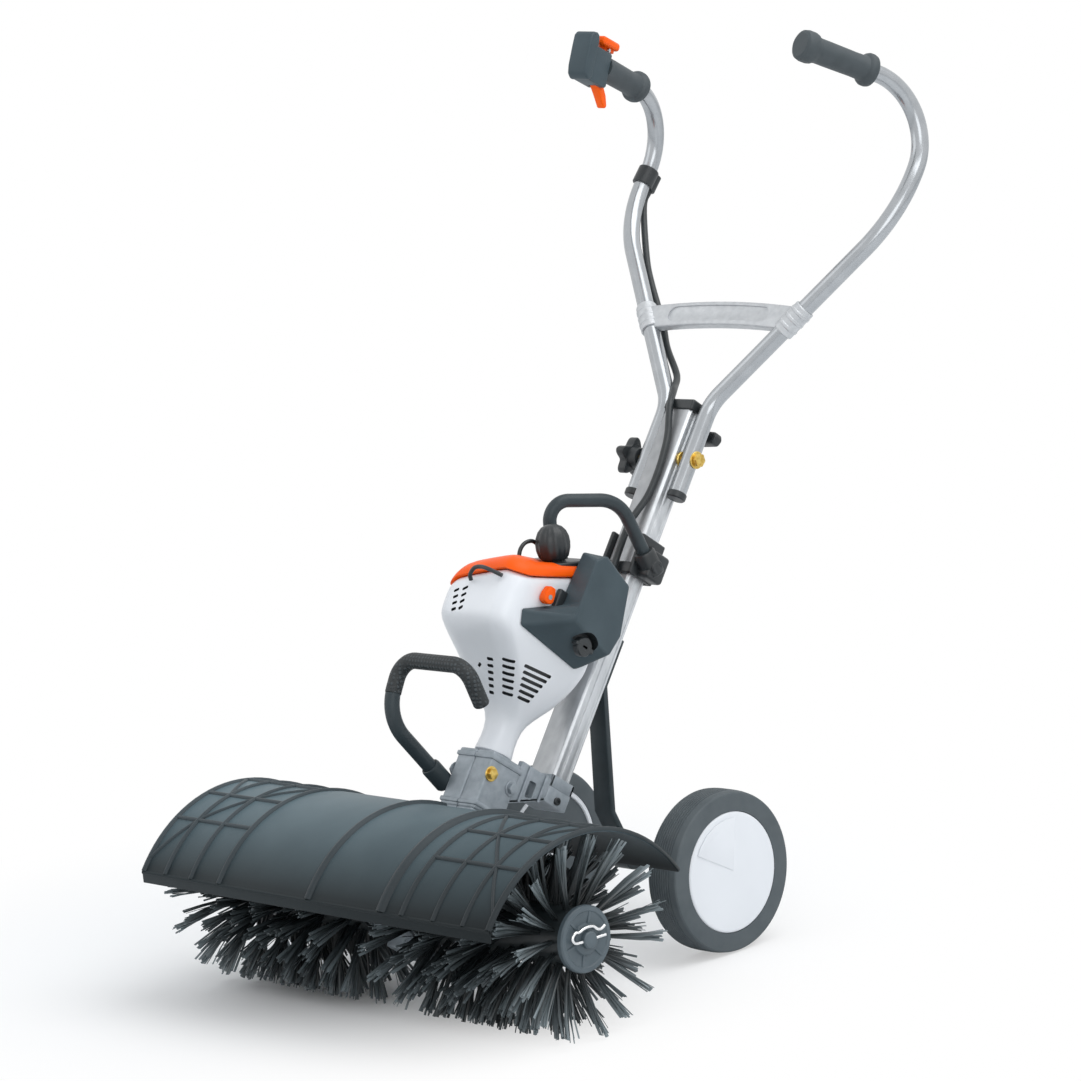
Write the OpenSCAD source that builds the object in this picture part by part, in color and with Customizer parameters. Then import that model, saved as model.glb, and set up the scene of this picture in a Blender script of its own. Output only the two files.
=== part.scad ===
// Walk-behind power brush sweeper: a two-stroke engine and worm gearbox on a
// leaning column drive a two-half roller brush under a ribbed hood.
// Millimetres. +X is the operator's left, -Y the front, +Z up.

/* [Brush] */
// Diameter over the bristle tips
brush_d = 240; // [200:1:280]
// Width over both brush halves
brush_w = 650; // [480:1:700]
// Free width between the two brush halves, where the gearbox runs
brush_gap = 88; // [84:1:120]
// Radius of the rigid brush core
core_r = 29; // [24:0.5:34]
// Thickness of the backing that holds the bristles
backing_t = 5; // [3:0.5:8]
// Radius of the disc that closes each brush end
end_disc_r = 39; // [36:0.5:48]
// Thickness of the end disc
end_disc_t = 9; // [6:0.5:14]
// Diameter of the output shaft
shaft_d = 20; // [14:0.5:24]
// Rows of bristle tufts along one half
tuft_rows = 12; // [6:1:12]
// Tufts around one row
tufts_round = 18; // [10:1:18]
// Width of a bristle strand at its root
strand_w = 5; // [3:0.5:7]
// Width of a bristle strand at its tip
strand_tip_w = 3; // [2:0.5:4]
// How far the tufts at the outer ends lean out
outer_lean = 30; // [0:1:32]
// How far the tufts beside the gearbox lean in
inner_lean = 18; // [0:1:19]

/* [Hood] */
// Width of the hood
hood_w = 630; // [480:1:700]
// Outer radius of the hood's arc
hood_r = 182; // [165:1:230]
// Height of the arc's centre over the floor
hood_axis_z = 62.5; // [30:0.5:80]
// Height of the hood's lower edges over the floor
hood_edge_z = 165; // [140:1:180]
// Wall of the hood
hood_t = 3; // [2:0.5:5]
// Height of the hood's ribs
hood_rib_h = 3; // [1:0.5:6]
// Thickness of the hood's ribs
hood_rib_t = 5; // [3:0.5:8]
// Width of the ribbed field at each end of the hood
hood_field_w = 150; // [120:1:200]
// Depth of the lip along the front edge
hood_lip_h = 12; // [6:0.5:20]

/* [Wheels] */
// Diameter of the transport wheels
wheel_d = 200; // [160:1:240]
// Width of a tyre
tyre_w = 48; // [36:1:60]
// Radius at which the tyre sits on its wheel
wheel_seat_r = 75; // [60:0.5:85]
// Distance between the outer faces of the two wheels
wheel_span = 368; // [320:1:440]
// Distance from the brush axis back to the wheel axle
axle_y = 365; // [340:1:400]
// Diameter of the wheel axle
axle_d = 15; // [10:0.5:18]

/* [Drive] */
// Lean of the engine and the column, back from upright
lean = 35.4; // [30:0.1:40]
// Distance along the drive shaft from brush axis to engine neck
drive_len = 215; // [200:1:240]
// Distance between worm and brush axis
worm_centre = 40; // [36:0.5:46]
// Radius of the worm
worm_r = 11; // [8:0.5:13]
// Diameter of the drive shaft
drive_shaft_d = 14; // [10:0.5:16]
// Wall of the gearbox casing
casing_t = 6; // [4:0.5:8]
// Width of the gearbox casing across the shaft
casing_w = 62; // [60:1:76]

/* [Column] */
// Width of the column across the machine
column_w = 46; // [42:0.5:56]
// Depth of the column front to back
column_depth = 31; // [28:0.5:44]
// Length of the column
column_len = 520; // [460:1:600]
// Distance from the drive shaft back to the column axis
column_gap = 100; // [96:0.5:112]
// Wall of the column
column_t = 4; // [3:0.5:6]
// Height of the handlebar pivot up the column
pivot_s = 452; // [430:1:480]

/* [Engine] */
// Height of the engine shroud along the drive shaft
shroud_len = 240; // [220:1:260]
// Reach of the shroud ahead of the drive shaft
shroud_front = 122; // [110:1:134]
// Reach of the shroud behind the drive shaft
shroud_rear = 54; // [48:1:60]
// Half width of the shroud
shroud_half = 62; // [56:0.5:68]
// Radius of the shroud's neck
neck_r = 22; // [20:0.5:28]
// Wall of the shroud
shroud_t = 3; // [2:0.5:4]
// Slope of the engine's top against the drive shaft
top_slope = 30; // [24:0.5:34]
// Thickness of the top cover
top_cover_t = 16; // [10:0.5:20]
// Depth of the air filter cover across the machine
filter_depth = 37; // [30:0.5:44]
// Radius of the starter grip
grip_bulb_r = 22; // [16:0.5:24]

/* [Handlebar] */
// Outer diameter of the handlebar tubes
tube_d = 22; // [18:0.5:25]
// Wall of the handlebar tubes
tube_t = 2; // [1.5:0.5:3]
// Outer radius of the rubber grips
grip_r = 16; // [14:0.5:19]
// Length of the left grip
grip_len = 106; // [90:1:120]
// Length of the right grip
right_grip_len = 86; // [70:1:95]
// Height of the cross brace
brace_h = 34; // [26:1:42]
// Thickness of the cross brace
brace_t = 14; // [8:0.5:16]
// Diameter of the carry handle's tube
carry_d = 17; // [14:0.5:20]
// Diameter of the front handle's tube
front_handle_d = 20; // [16:0.5:24]

/* [Fits] */
// Radial clearance of a running fit
run_fit = 0.05; // [0.02:0.01:0.1]
// Gap between pieces that lie against each other
seat_gap = 0.3; // [0.2:0.05:0.4]

/* [Hidden] */
$fn = 64;
// Overrun of a cut past the face it opens
over = 2;
hull_fn = 32;

// Places of the main axes, with the brush axis over Y = 0
brush_z = brush_d/2;
axle_z = wheel_d/2;
neck_y = worm_centre*cos(lean) + drive_len*sin(lean);
neck_z = brush_z - worm_centre*sin(lean) + drive_len*cos(lean);

// A place in the leaning drive frame: x across, q back from the shaft, s up along it
function driven(x, q, s) = [x, neck_y + q*cos(lean) + s*sin(lean), neck_z - q*sin(lean) + s*cos(lean)];

// Handlebar: corners of one tube's centreline from the column end to the grip end
washer_t = 3.5;
tube_x = column_w/2 + tube_d/2 + washer_t;
tube_tail = 46;
tube_rise = 78;
tube_spread = [205, 153, 220];
tube_upright = [-10, 105, 132];
grip_run = [-41, -198, 85];
tube_bends = [57, 170, 80];
bar_0 = driven(tube_x, column_gap, pivot_s - tube_tail);
bar_1 = driven(tube_x, column_gap, pivot_s + tube_rise);
bar_2 = bar_1 + tube_spread;
bar_3 = bar_2 + tube_upright;
bar_4 = bar_3 + grip_run;
bar_path = [bar_0, bar_1, bar_2, bar_3, bar_4];
grip_dir = unit(grip_run);

// Throttle cable and the clip that holds it behind the right tube
cable_r = 4.5;
cable_lift = tube_d/2 + cable_r + seat_gap;
clip_up = 52;
clip_len = 24;
clip_t = 3;
mirrored_up = [-tube_upright[0], tube_upright[1], tube_upright[2]]/norm(tube_upright);
mirrored_2 = [-bar_2[0], bar_2[1], bar_2[2]];
function behind(d) = unit([0, 1, 0] - d*d[1]);
clip_top = mirrored_2 + mirrored_up*(clip_up + clip_len) + behind(mirrored_up)*cable_lift;
clip_rear_y = clip_top[1] + (cable_r + clip_t)*norm([mirrored_up[0], mirrored_up[2]]);

// The frame's origin: under the middle of the whole machine's length
arc_half_y = sqrt(pow(hood_r, 2) - pow(hood_edge_z - hood_axis_z, 2));
front_y = -sqrt(pow(hood_r + hood_rib_h, 2) - pow(hood_edge_z - hood_axis_z, 2));
bar_turn = acos(unit(tube_upright)*grip_dir);
bar_turn_in = unit(grip_dir - unit(tube_upright)*(unit(tube_upright)*grip_dir));
bar_turn_start = bar_3 - unit(tube_upright)*tube_bends[2]*tan(bar_turn/2);
bar_turn_centre = bar_turn_start + bar_turn_in*tube_bends[2];
// Furthest back point of the bent tube: the centreline's reach, then the tube's own
bend_reach = norm([bar_turn_in[1], unit(tube_upright)[1]]);
rear_y = max(bar_turn_centre[1] + tube_bends[2]*bend_reach + tube_d/2, clip_rear_y);
middle_y = (front_y + rear_y)/2;

// Vectors and placing
function unit(v) = v/norm(v);
function side_of(d) = unit(cross(abs(d[0]) < 0.9 ? [1, 0, 0] : [0, 1, 0], d));
module in_frame() translate([0, -middle_y, 0]) children();
module drive_frame() translate([0, neck_y, neck_z]) rotate([-lean, 0, 0]) children();
module top_frame() drive_frame() translate([0, 0, shroud_len]) rotate([top_slope, 0, 0]) children();
module axes_at(p, x, y, z)
    multmatrix([[x[0], y[0], z[0], p[0]], [x[1], y[1], z[1], p[1]], [x[2], y[2], z[2], p[2]], [0, 0, 0,
        1]])
        children();
// Stands a piece at p with its own z along d
module along(p, d) {
    z = unit(d);
    x = side_of(z);
    axes_at(p, x, cross(z, x), z) children();
}
// Turns an outline drawn back and up into a piece of the given length across the machine
module across(length) rotate([90, 0, 90]) linear_extrude(length) children();
module both_sides() {
    children();
    mirror([1, 0, 0]) children();
}
module ring(r, bore) difference() {
    circle(r);
    circle(bore);
}
module bar_x(r, x0, x1) translate([x0, 0, 0]) rotate([0, 90, 0]) cylinder(r = r, h = x1 - x0);

// A tube bent round corners: straight runs and true arcs, joined inside thin weld rings
seam = 0.3;
weld_lift = 0.08;
function run_dir(p, i) = unit(p[i + 1] - p[i]);
function turn_of(p, i) = acos(run_dir(p, i - 1)*run_dir(p, i));
function cut_back(p, b, i) = i == 0 || i == len(p) - 1 ? 0 : b[i - 1]*tan(turn_of(p, i)/2);
module bent_bar(p, b, r, extra) {
    last = len(p) - 1;
    for (i = [0:last - 1]) {
        d = run_dir(p, i);
        start = p[i] + d*(i == 0 ? -extra : cut_back(p, b, i) + seam);
        stop = p[i + 1] - d*(i == last - 1 ? -extra : cut_back(p, b, i + 1) + seam);
        along(start, d) cylinder(r = r, h = norm(stop - start));
    }
    for (i = [1:last - 1]) {
        d = run_dir(p, i - 1);
        inward = unit(run_dir(p, i) - d*(d*run_dir(p, i)));
        start = p[i] - d*cut_back(p, b, i);
        seam_angle = asin(seam/b[i - 1]);
        axes_at(start + inward*b[i - 1], -inward, d, cross(-inward, d)) rotate(seam_angle)
            rotate_extrude(angle = turn_of(p, i) - 2*seam_angle) translate([b[i - 1], 0]) circle(r);
        along(start - d*2*seam, d) cylinder(r = r + weld_lift, h = 4*seam);
        along(p[i] + run_dir(p, i)*(cut_back(p, b, i) - 2*seam), run_dir(p, i))
            cylinder(r = r + weld_lift, h = 4*seam);
    }
}
module bent_tube(p, b, r, bore) difference() {
    bent_bar(p, b, r, 0);
    if (bore > 0) bent_bar(p, b, bore, over);
}

// A cable swept along a smooth curve through its route's points
function curve_at(p, i, t) = let (
    a = p[max(i - 1, 0)], b = p[i], c = p[i + 1], d = p[min(i + 2, len(p) - 1)])
    0.5*(2*b + (c - a)*t + (2*a - 5*b + 4*c - d)*t*t + (3*b - a - 3*c + d)*t*t*t);
function smooth_route(p, n) = concat(
    [for (i = [0:len(p) - 2]) for (k = [0:n - 1]) curve_at(p, i, k/n)], [p[len(p) - 1]]);
module swept(p, r, sides) {
    n = len(p);
    tangents = [for (i = [0:n - 1]) unit(p[min(i + 1, n - 1)] - p[max(i - 1, 0)])];
    rings = [for (i = [0:n - 1]) let (x = side_of(tangents[i]), y = cross(tangents[i], x))
        for (k = [0:sides - 1]) p[i] + r*(x*cos(360*k/sides) + y*sin(360*k/sides))];
    walls = [for (i = [0:n - 2]) for (k = [0:sides - 1]) let (m = (k + 1)%sides)
        each [[i*sides + k, (i + 1)*sides + k, (i + 1)*sides + m],
            [i*sides + k, (i + 1)*sides + m, i*sides + m]]];
    ends = [for (k = [1:sides - 2]) each [[0, k, k + 1],
        [(n - 1)*sides, (n - 1)*sides + k + 1, (n - 1)*sides + k]]];
    polyhedron(points = rings, faces = concat(walls, ends), convexity = 6);
}

// Column: a boxed extrusion with two grooves down each side
column_groove_w = 7;
column_groove_d = 2;
groove_shares = [-0.22, 0.22];
socket_depth = 14;
cap_t = 9;
module column_outline() difference() {
    square([column_w, column_depth], center = true);
    square([column_w - 2*column_t, column_depth - 2*column_t], center = true);
    for (k = groove_shares)
        for (side = [-1, 1])
            translate([side*column_w/2, k*column_depth])
                square([2*column_groove_d, column_groove_w], center = true);
}
module main_column() color("silver") in_frame() drive_frame() translate([0, column_gap, 0]) difference() {
    linear_extrude(column_len) column_outline();
    translate([0, 0, pivot_s]) bar_x(pivot_d/2 + run_fit, -column_w, column_w);
    translate([0, 0, wing_s]) rotate([-90, 0, 0]) cylinder(d = stud_d + 2*run_fit, h = column_depth);
}
cap_lip = 2;
cap_plug_h = 10;
module column_cap() color("dimgray") in_frame() drive_frame() translate([0, column_gap, column_len]) {
    linear_extrude(cap_t) square([column_w + 2*cap_lip, column_depth + 2*cap_lip], center = true);
    translate([0, 0, -cap_plug_h]) linear_extrude(cap_plug_h) square([column_w - 2*column_t - 2*seat_gap,
        column_depth - 2*column_t - 2*seat_gap], center = true);
}

// Base bracket: a cast socket for the column, tied to the gearbox by two side webs
socket_t = 4;
socket_floor = 22;
web_t = 8;
casing_half_q = 26;
web_low_s = -48;
web_top_s = 8;
web_rib_t = 5;
bracket_slot_w = 12;
bracket_slot_h = 24;
module base_bracket() color("lightgray") in_frame() drive_frame() {
    outer_w = column_w + 2*(socket_t + seat_gap);
    outer_d = column_depth + 2*(socket_t + seat_gap);
    front_q = column_gap - outer_d/2;
    difference() {
        translate([-outer_w/2, front_q, -socket_floor]) cube([outer_w, outer_d, socket_floor
            + socket_depth]);
        translate([-column_w/2 - seat_gap, column_gap - column_depth/2 - seat_gap, 0])
            cube([column_w + 2*seat_gap, column_depth + 2*seat_gap, socket_depth + over]);
    }
    for (side = [-1, 1])
        translate([side < 0 ? -outer_w/2 : outer_w/2 - web_t, 0, 0]) across(web_t) difference() {
            polygon([[casing_half_q, web_low_s], [casing_half_q, web_top_s], [front_q, socket_depth/2],
                [front_q, -socket_floor]]);
            translate([(casing_half_q + front_q)/2 - bracket_slot_w/2, web_low_s/2 - bracket_slot_h/4])
                square([bracket_slot_w, bracket_slot_h]);
        }
    translate([-outer_w/2, 0, 0]) across(outer_w) polygon([[casing_half_q, web_low_s],
        [casing_half_q, web_low_s + web_rib_t], [front_q, -socket_floor + web_rib_t], [front_q,
            -socket_floor]]);
}

// Gearbox: two casing halves that meet on the middle plane
casing_foot = 46;
casing_neck_s = 76;
wheel_r = worm_centre - worm_r - 1.5*seat_gap;
wheel_w = 20;
drum_r = wheel_r + 3*seat_gap + casing_t;
tunnel_r = worm_r + 2*seat_gap;
lower_half_w = 30;
neck_bearing_h = 20;
bolt_d = 8;
bolt_places = [[-19, -24], [19, -31], [19, -150], [19, -245]];
module casing_side() {
    translate([-worm_centre, -drive_len]) circle(drum_r);
    translate([-casing_half_q, -drive_len - casing_foot]) square([2*casing_half_q, drive_len
        + casing_foot]);
}
module casing_body() {
    across(lower_half_w) casing_side();
    across(casing_w/2) translate([-casing_half_q, -casing_neck_s]) square([2*casing_half_q,
        casing_neck_s]);
}
module casing_cuts() {
    translate([-over, 0, 0]) across(wheel_w/2 + seat_gap + over)
        translate([-worm_centre, -drive_len]) circle(wheel_r + 3*seat_gap);
    translate([0, 0, -drive_len - casing_foot + casing_t])
        cylinder(r = tunnel_r, h = drive_len + casing_foot - casing_t - neck_bearing_h);
    translate([0, 0, -neck_bearing_h - over])
        cylinder(d = drive_shaft_d + 2*run_fit, h = neck_bearing_h + 2*over);
    translate([0, -worm_centre, -drive_len]) bar_x(shaft_d/2 + run_fit, -over, lower_half_w + over);
    for (place = bolt_places)
        translate([0, place[0], place[1]]) bar_x(bolt_d/2 + run_fit, -over, casing_w);
}
// Ears on the casing carry the hood from below
ear_angle = -36;
ear_len = 32;
ear_w = 26;
ear_t = 8;
screw_x = 47;
screw_d = 6;
module under_hood(x) translate([x, 0, hood_axis_z]) rotate([ear_angle, 0, 0]) children();
module casing_half() difference() {
    union() {
        drive_frame() casing_body();
        under_hood(lower_half_w - casing_t)
            translate([0, -ear_w/2, hood_r*cos(asin(ear_w/2/hood_r)) - hood_t - seat_gap - ear_t])
                cube([ear_len, ear_w, ear_t]);
    }
    drive_frame() casing_cuts();
    under_hood(screw_x) cylinder(d = screw_d + 2*run_fit, h = hood_r);
}
module gearbox_left_half() color("darkgray") in_frame() casing_half();
module gearbox_right_half() color("darkgray") in_frame() difference() {
    union() {
        mirror([1, 0, 0]) casing_half();
        along(front_root - unit(front_leg)*front_boss_t, front_leg)
            cylinder(r = front_handle_d/2 + front_boss_t, h = front_boss_len);
    }
    along(front_root, front_leg) cylinder(r = front_handle_d/2 + run_fit, h = front_boss_len);
}
bolt_head_r = 7;
bolt_head_t = 6;
module gearbox_bolts() color("goldenrod") in_frame() drive_frame() for (place = bolt_places) {
    half = place[1] > -casing_neck_s ? casing_w/2 : lower_half_w;
    translate([0, place[0], place[1]]) {
        bar_x(bolt_d/2, -half, half);
        for (side = [-1, 1])
            translate([side < 0 ? -half - bolt_head_t : half, 0, 0]) rotate([0, 90, 0])
                cylinder(r = bolt_head_r, h = bolt_head_t, $fn = 6);
    }
}

// Drive: shaft with worm and clutch drum, and the wheel on the brush shaft
worm_len = 44;
shaft_foot = casing_foot - casing_t - seat_gap;
drum_s = 80;
clutch_drum_r = 30;
clutch_drum_h = 16;
drum_t = 3;
module worm_shaft() color("slategray") in_frame() drive_frame() {
    translate([0, 0, -drive_len - shaft_foot]) cylinder(d = drive_shaft_d, h = drive_len + shaft_foot
        + drum_s);
    translate([0, 0, -drive_len - worm_len/2]) cylinder(r = worm_r, h = worm_len);
    translate([0, 0, drum_s]) rotate_extrude() polygon([[0, 0], [clutch_drum_r, 0],
        [clutch_drum_r, clutch_drum_h], [clutch_drum_r - drum_t, clutch_drum_h],
            [clutch_drum_r - drum_t, drum_t],
        [0, drum_t]]);
}
module on_brush_axis() translate([0, 0, brush_z]) children();
module worm_wheel() color("peru") in_frame() on_brush_axis() difference() {
    bar_x(wheel_r, -wheel_w/2, wheel_w/2);
    bar_x(shaft_d/2 + run_fit, -wheel_w, wheel_w);
}

// Brush: shaft, cores with end discs, bristles and spring clips
disc_inset = 16;
disc_x = brush_w/2 - disc_inset;
shaft_end_over = 8;
shaft_end_x = disc_x + shaft_end_over;
clip_d = 4;
module output_shaft() color("gainsboro") in_frame() on_brush_axis() difference() {
    bar_x(shaft_d/2, -shaft_end_x, shaft_end_x);
    for (side = [-1, 1])
        translate([side*clip_x, shaft_d, 0]) rotate([90, 0, 0]) cylinder(d = clip_d + 2*run_fit,
            h = 2*shaft_d);
}
clip_x = disc_x + clip_d;
module brush_core() color("slategray") in_frame() on_brush_axis() difference() {
    union() {
        bar_x(core_r, brush_gap/2, disc_x);
        bar_x(end_disc_r, disc_x - end_disc_t, disc_x);
    }
    bar_x(shaft_d/2 + run_fit, 0, brush_w);
}
module brush_core_left() brush_core();
module brush_core_right() mirror([1, 0, 0]) brush_core();
// Strands rise from chosen cells of the backing's outer skin, so each is one with it
module bristle_half() {
    sectors = 2*tufts_round;
    root_r = (core_r + seat_gap)/cos(180/sectors) + backing_t;
    inner_r = root_r - backing_t;
    tip_r = brush_d/2;
    x_start = brush_gap/2;
    x_stop = disc_x - end_disc_t - seat_gap;
    pitch = (x_stop - x_start)/tuft_rows;
    edges = concat([x_start], [for (k = [0:tuft_rows - 1]) each [x_start + (k + 0.5)*pitch - strand_w/2,
        x_start + (k + 0.5)*pitch + strand_w/2]], [x_stop]);
    half_angle = asin(strand_w/2/root_r);
    angles = [for (j = [0:tufts_round - 1]) each [360*(j + 0.5)/tufts_round - half_angle,
        360*(j + 0.5)/tufts_round + half_angle]];
    rows = len(edges);
    skin = [for (x = edges) for (a = angles) [x, root_r*sin(a), root_r*cos(a)]];
    bore = [for (x = [x_start, x_stop]) for (a = angles) [x, inner_r*sin(a), inner_r*cos(a)]];
    tip_angle = asin(strand_tip_w/2/tip_r);
    tips = [for (k = [0:tuft_rows - 1]) for (j = [0:tufts_round - 1]) let (
        a = 360*(j + 0.5)/tufts_round,
        u = 2*(k + 0.5)/tuft_rows - 1,
        lean_x = (u < 0 ? inner_lean : outer_lean)*pow(u*tuft_rows/(tuft_rows - 1), 3),
        x = x_start + (k + 0.5)*pitch + lean_x)
        each [for (c = [[-1, -1], [-1, 1], [1, 1], [1, -1]])
            [x + c[0]*strand_tip_w/2, tip_r*sin(a + c[1]*tip_angle), tip_r*cos(a + c[1]*tip_angle)]]];
    bore_at = rows*sectors;
    tip_at = bore_at + 2*sectors;
    function at(i, j) = i*sectors + j%sectors;
    quads = concat(
        [for (i = [0:rows - 2]) for (j = [0:sectors - 1])
            if (i%2 == 0 || j%2 == 1) [at(i, j), at(i + 1, j), at(i + 1, j + 1), at(i, j + 1)]],
        [for (j = [0:sectors - 1]) [bore_at + (j + 1)%sectors, bore_at + sectors + (j + 1)%sectors,
            bore_at + sectors + j, bore_at + j]],
        [for (j = [0:sectors - 1]) [bore_at + j, at(0, j), at(0, j + 1), bore_at + (j + 1)%sectors]],
        [for (j = [0:sectors - 1]) [bore_at + sectors + (j + 1)%sectors, at(rows - 1, j + 1),
            at(rows - 1, j),
            bore_at + sectors + j]],
        [for (k = [0:tuft_rows - 1]) for (j = [0:tufts_round - 1]) let (
            i = 2*k + 1, m = 2*j, t = tip_at + 4*(k*tufts_round + j),
            root = [at(i, m), at(i, m + 1), at(i + 1, m + 1), at(i + 1, m)])
            each concat([for (c = [0:3]) [root[(c + 1)%4], root[c], t + c, t + (c + 1)%4]],
                [[t + 3, t + 2, t + 1, t]])]);
    polyhedron(points = concat(skin, bore, tips),
        faces = [for (f = quads) each [[f[0], f[1], f[2]], [f[0], f[2], f[3]]]], convexity = 10);
}
module bristles_left() color("#1c1f21") in_frame() on_brush_axis() bristle_half();
module bristles_right() color("#1c1f21") in_frame() on_brush_axis() mirror([1, 0, 0]) bristle_half();
// Spring clips: a straight leg through the shaft, a round end and a wavy leg over it
clip_route_shares = [[1.3, 0], [0.4, 0], [-0.85, 0], [-1.2, 0.14], [-1.25, 0.4], [-1.0, 0.62], [-0.7,
    0.6],
    [-0.4, 0.7], [0, 0.75], [0.4, 0.7], [0.7, 0.48], [1.0, 0.42], [1.3, 0.56]];
clip_steps = 3;
clip_sides = 8;
module r_clips() color("white") in_frame() on_brush_axis() for (side = [-1, 1])
    swept(smooth_route([for (k = clip_route_shares) [side*clip_x, k[0]*shaft_d, k[1]*shaft_d]],
        clip_steps),
        clip_d/2, clip_sides);

// Hood: an arc of sheet with end fields of ribs, a middle rib and a front lip
slot_gap = 1;
module hood_arc(r, t) intersection() {
    translate([0, hood_axis_z]) ring(r, r - t);
    translate([-hood_r, hood_edge_z]) square([2*hood_r, hood_r + hood_axis_z]);
}
field_rib_shares = [0.0, 0.3, 0.63, 1.0];
axial_rib_angles = [-8, 12, 29.5];
// One broad rib stands beside the near field only
broad_rib_share = 0.4;
broad_rib_w = 9;
axial_rib_share = 0.7;
lip_in_share = 0.3;
lip_wall_share = 0.75;
module brush_hood() color("#3c4347") in_frame() difference() {
    union() {
        translate([-hood_w/2, 0, 0]) across(hood_w) hood_arc(hood_r, hood_t);
        translate([-hood_rib_t/2, 0, 0]) across(hood_rib_t)
            hood_arc(hood_r + hood_rib_h, hood_rib_h + hood_t/2);
        translate([broad_rib_share*hood_w/2, 0, 0]) across(broad_rib_w)
            hood_arc(hood_r + hood_rib_h, hood_rib_h + hood_t/2);
        both_sides() for (k = field_rib_shares)
            translate([hood_w/2 - hood_field_w*k - (k < 0.5 ? hood_rib_t : 0), 0, 0])
                across(hood_rib_t)
            hood_arc(hood_r + hood_rib_h, hood_rib_h + hood_t/2);
        both_sides() for (a = axial_rib_angles)
            translate([0, 0, hood_axis_z]) rotate([a, 0, 0])
                translate([hood_w/2 - hood_field_w + hood_rib_t/2, -hood_rib_t/2, hood_r - hood_t/2])
                    cube([hood_field_w - hood_rib_t, hood_rib_t, axial_rib_share*hood_rib_h + hood_t/2]);
        translate([-hood_w/2, -arc_half_y + hood_t*lip_in_share, hood_edge_z - hood_lip_h])
            cube([hood_w, hood_t*lip_wall_share, hood_lip_h + hood_t]);
    }
    drive_frame() translate([-lower_half_w - slot_gap, -casing_half_q - slot_gap, -drive_len])
        cube([2*(lower_half_w + slot_gap), 2*(casing_half_q + slot_gap), drive_len]);
    drive_frame() translate([-casing_w/2 - slot_gap, -casing_half_q - 2*slot_gap,
        -casing_neck_s - slot_gap])
        cube([casing_w + 2*slot_gap, column_gap + column_depth + casing_half_q, casing_neck_s + hood_r]);
    both_sides() under_hood(screw_x) cylinder(d = screw_d + 2*run_fit, h = 2*hood_r);
}
screw_head_r = 6;
screw_head_t = 4;
module hood_screws() color("black") in_frame() both_sides() under_hood(screw_x) {
    translate([0, 0, hood_r - hood_t - ear_t]) cylinder(d = screw_d, h = hood_t + ear_t);
    translate([0, 0, hood_r]) cylinder(r = screw_head_r, h = screw_head_t);
}

// Axle and the strut that ties it to the back of the column
strut_w = 30;
strut_t = 9;
strut_y = 335;
strut_low_z = 165;
strut_foot_s = 150;
strut_foot_len = 62;
strut_boss_r = 15;
strut_bolt_d = 8;
strut_bolt_shares = [0.35, 0.8];
column_back = column_gap + column_depth/2;
function yz(q, s) = [driven(0, q, s)[1], driven(0, q, s)[2]];
module axle_strut() color("#3a4043") in_frame() difference() {
    union() {
        translate([-strut_w/2, 0, 0]) across(strut_w) polygon([
            yz(column_back, strut_foot_s + strut_foot_len), yz(column_back, strut_foot_s),
            [strut_y - strut_t/2, strut_low_z], [axle_y - strut_t/2, axle_z],
            [axle_y + strut_t/2, axle_z], [strut_y + strut_t/2, strut_low_z],
            yz(column_back + strut_t, strut_foot_s), yz(column_back + strut_t, strut_foot_s
                + strut_foot_len)]);
        translate([0, axle_y, axle_z]) bar_x(strut_boss_r, -strut_w/2, strut_w/2);
    }
    translate([0, axle_y, axle_z]) bar_x(axle_d/2 + run_fit, -strut_w, strut_w);
    for (k = strut_bolt_shares) drive_frame() translate([0, column_back - over, strut_foot_s
        + k*strut_foot_len])
        rotate([-90, 0, 0]) cylinder(d = strut_bolt_d + 2*run_fit, h = 2*strut_t);
}
strut_bolt_head_r = 7;
strut_bolt_head_t = 6;
module strut_bolts() color("gray") in_frame() drive_frame() for (k = strut_bolt_shares)
    translate([0, column_back, strut_foot_s + k*strut_foot_len]) rotate([-90, 0, 0]) {
        cylinder(d = strut_bolt_d, h = strut_t);
        translate([0, 0, strut_t]) cylinder(r = strut_bolt_head_r, h = strut_bolt_head_t, $fn = 6);
    }
cover_t = 5;
cover_gap = 4;
axle_end_x = wheel_span/2 - cover_t - cover_gap - seat_gap;
module on_axle() translate([0, axle_y, axle_z]) children();
module wheel_axle() color("silver") in_frame() on_axle() bar_x(axle_d/2, -axle_end_x, axle_end_x);
collar_r = 13;
collar_t = 7;
module axle_collars() color("gray") in_frame() on_axle() both_sides()
    translate([wheel_span/2 - tyre_w - collar_t - seat_gap, 0, 0]) rotate([0, 90, 0]) difference() {
        cylinder(r = collar_r, h = collar_t);
        translate([0, 0, -over]) cylinder(d = axle_d + 2*run_fit, h = collar_t + 2*over);
    }

// Wheels: a moulded wheel with a closed outer face inside a rubber tyre
rim_t = 7;
hub_r = 16;
tyre_corner_shares = [[0, 0], [0, 0.62], [0.16, 0.9], [0.42, 1], [0.58, 1], [0.84, 0.9], [1, 0.62], [1,
    0]];
module wheel_turned() translate([wheel_span/2 - tyre_w, axle_y, axle_z]) rotate([0, 90, 0]) children();
module tyre() in_frame() wheel_turned() rotate_extrude() translate([wheel_seat_r, 0]) {
    depth = wheel_d/2 - wheel_seat_r;
    polygon([for (k = tyre_corner_shares) [k[1]*depth, k[0]*tyre_w]]);
}
module wheel() in_frame() wheel_turned() difference() {
    union() {
        rotate_extrude() translate([wheel_seat_r - rim_t, 0]) square([rim_t, tyre_w]);
        translate([0, 0, tyre_w - cover_t]) cylinder(r = wheel_seat_r, h = cover_t);
        cylinder(r = hub_r, h = tyre_w);
        for (k = [0:4]) rotate(72*k) translate([0, -cover_t/2, tyre_w/2])
            cube([wheel_seat_r - rim_t/2, cover_t, tyre_w/2]);
    }
    translate([0, 0, -over]) cylinder(d = axle_d + 2*run_fit, h = tyre_w - cover_t - cover_gap + over
        + run_fit);
}
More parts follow.
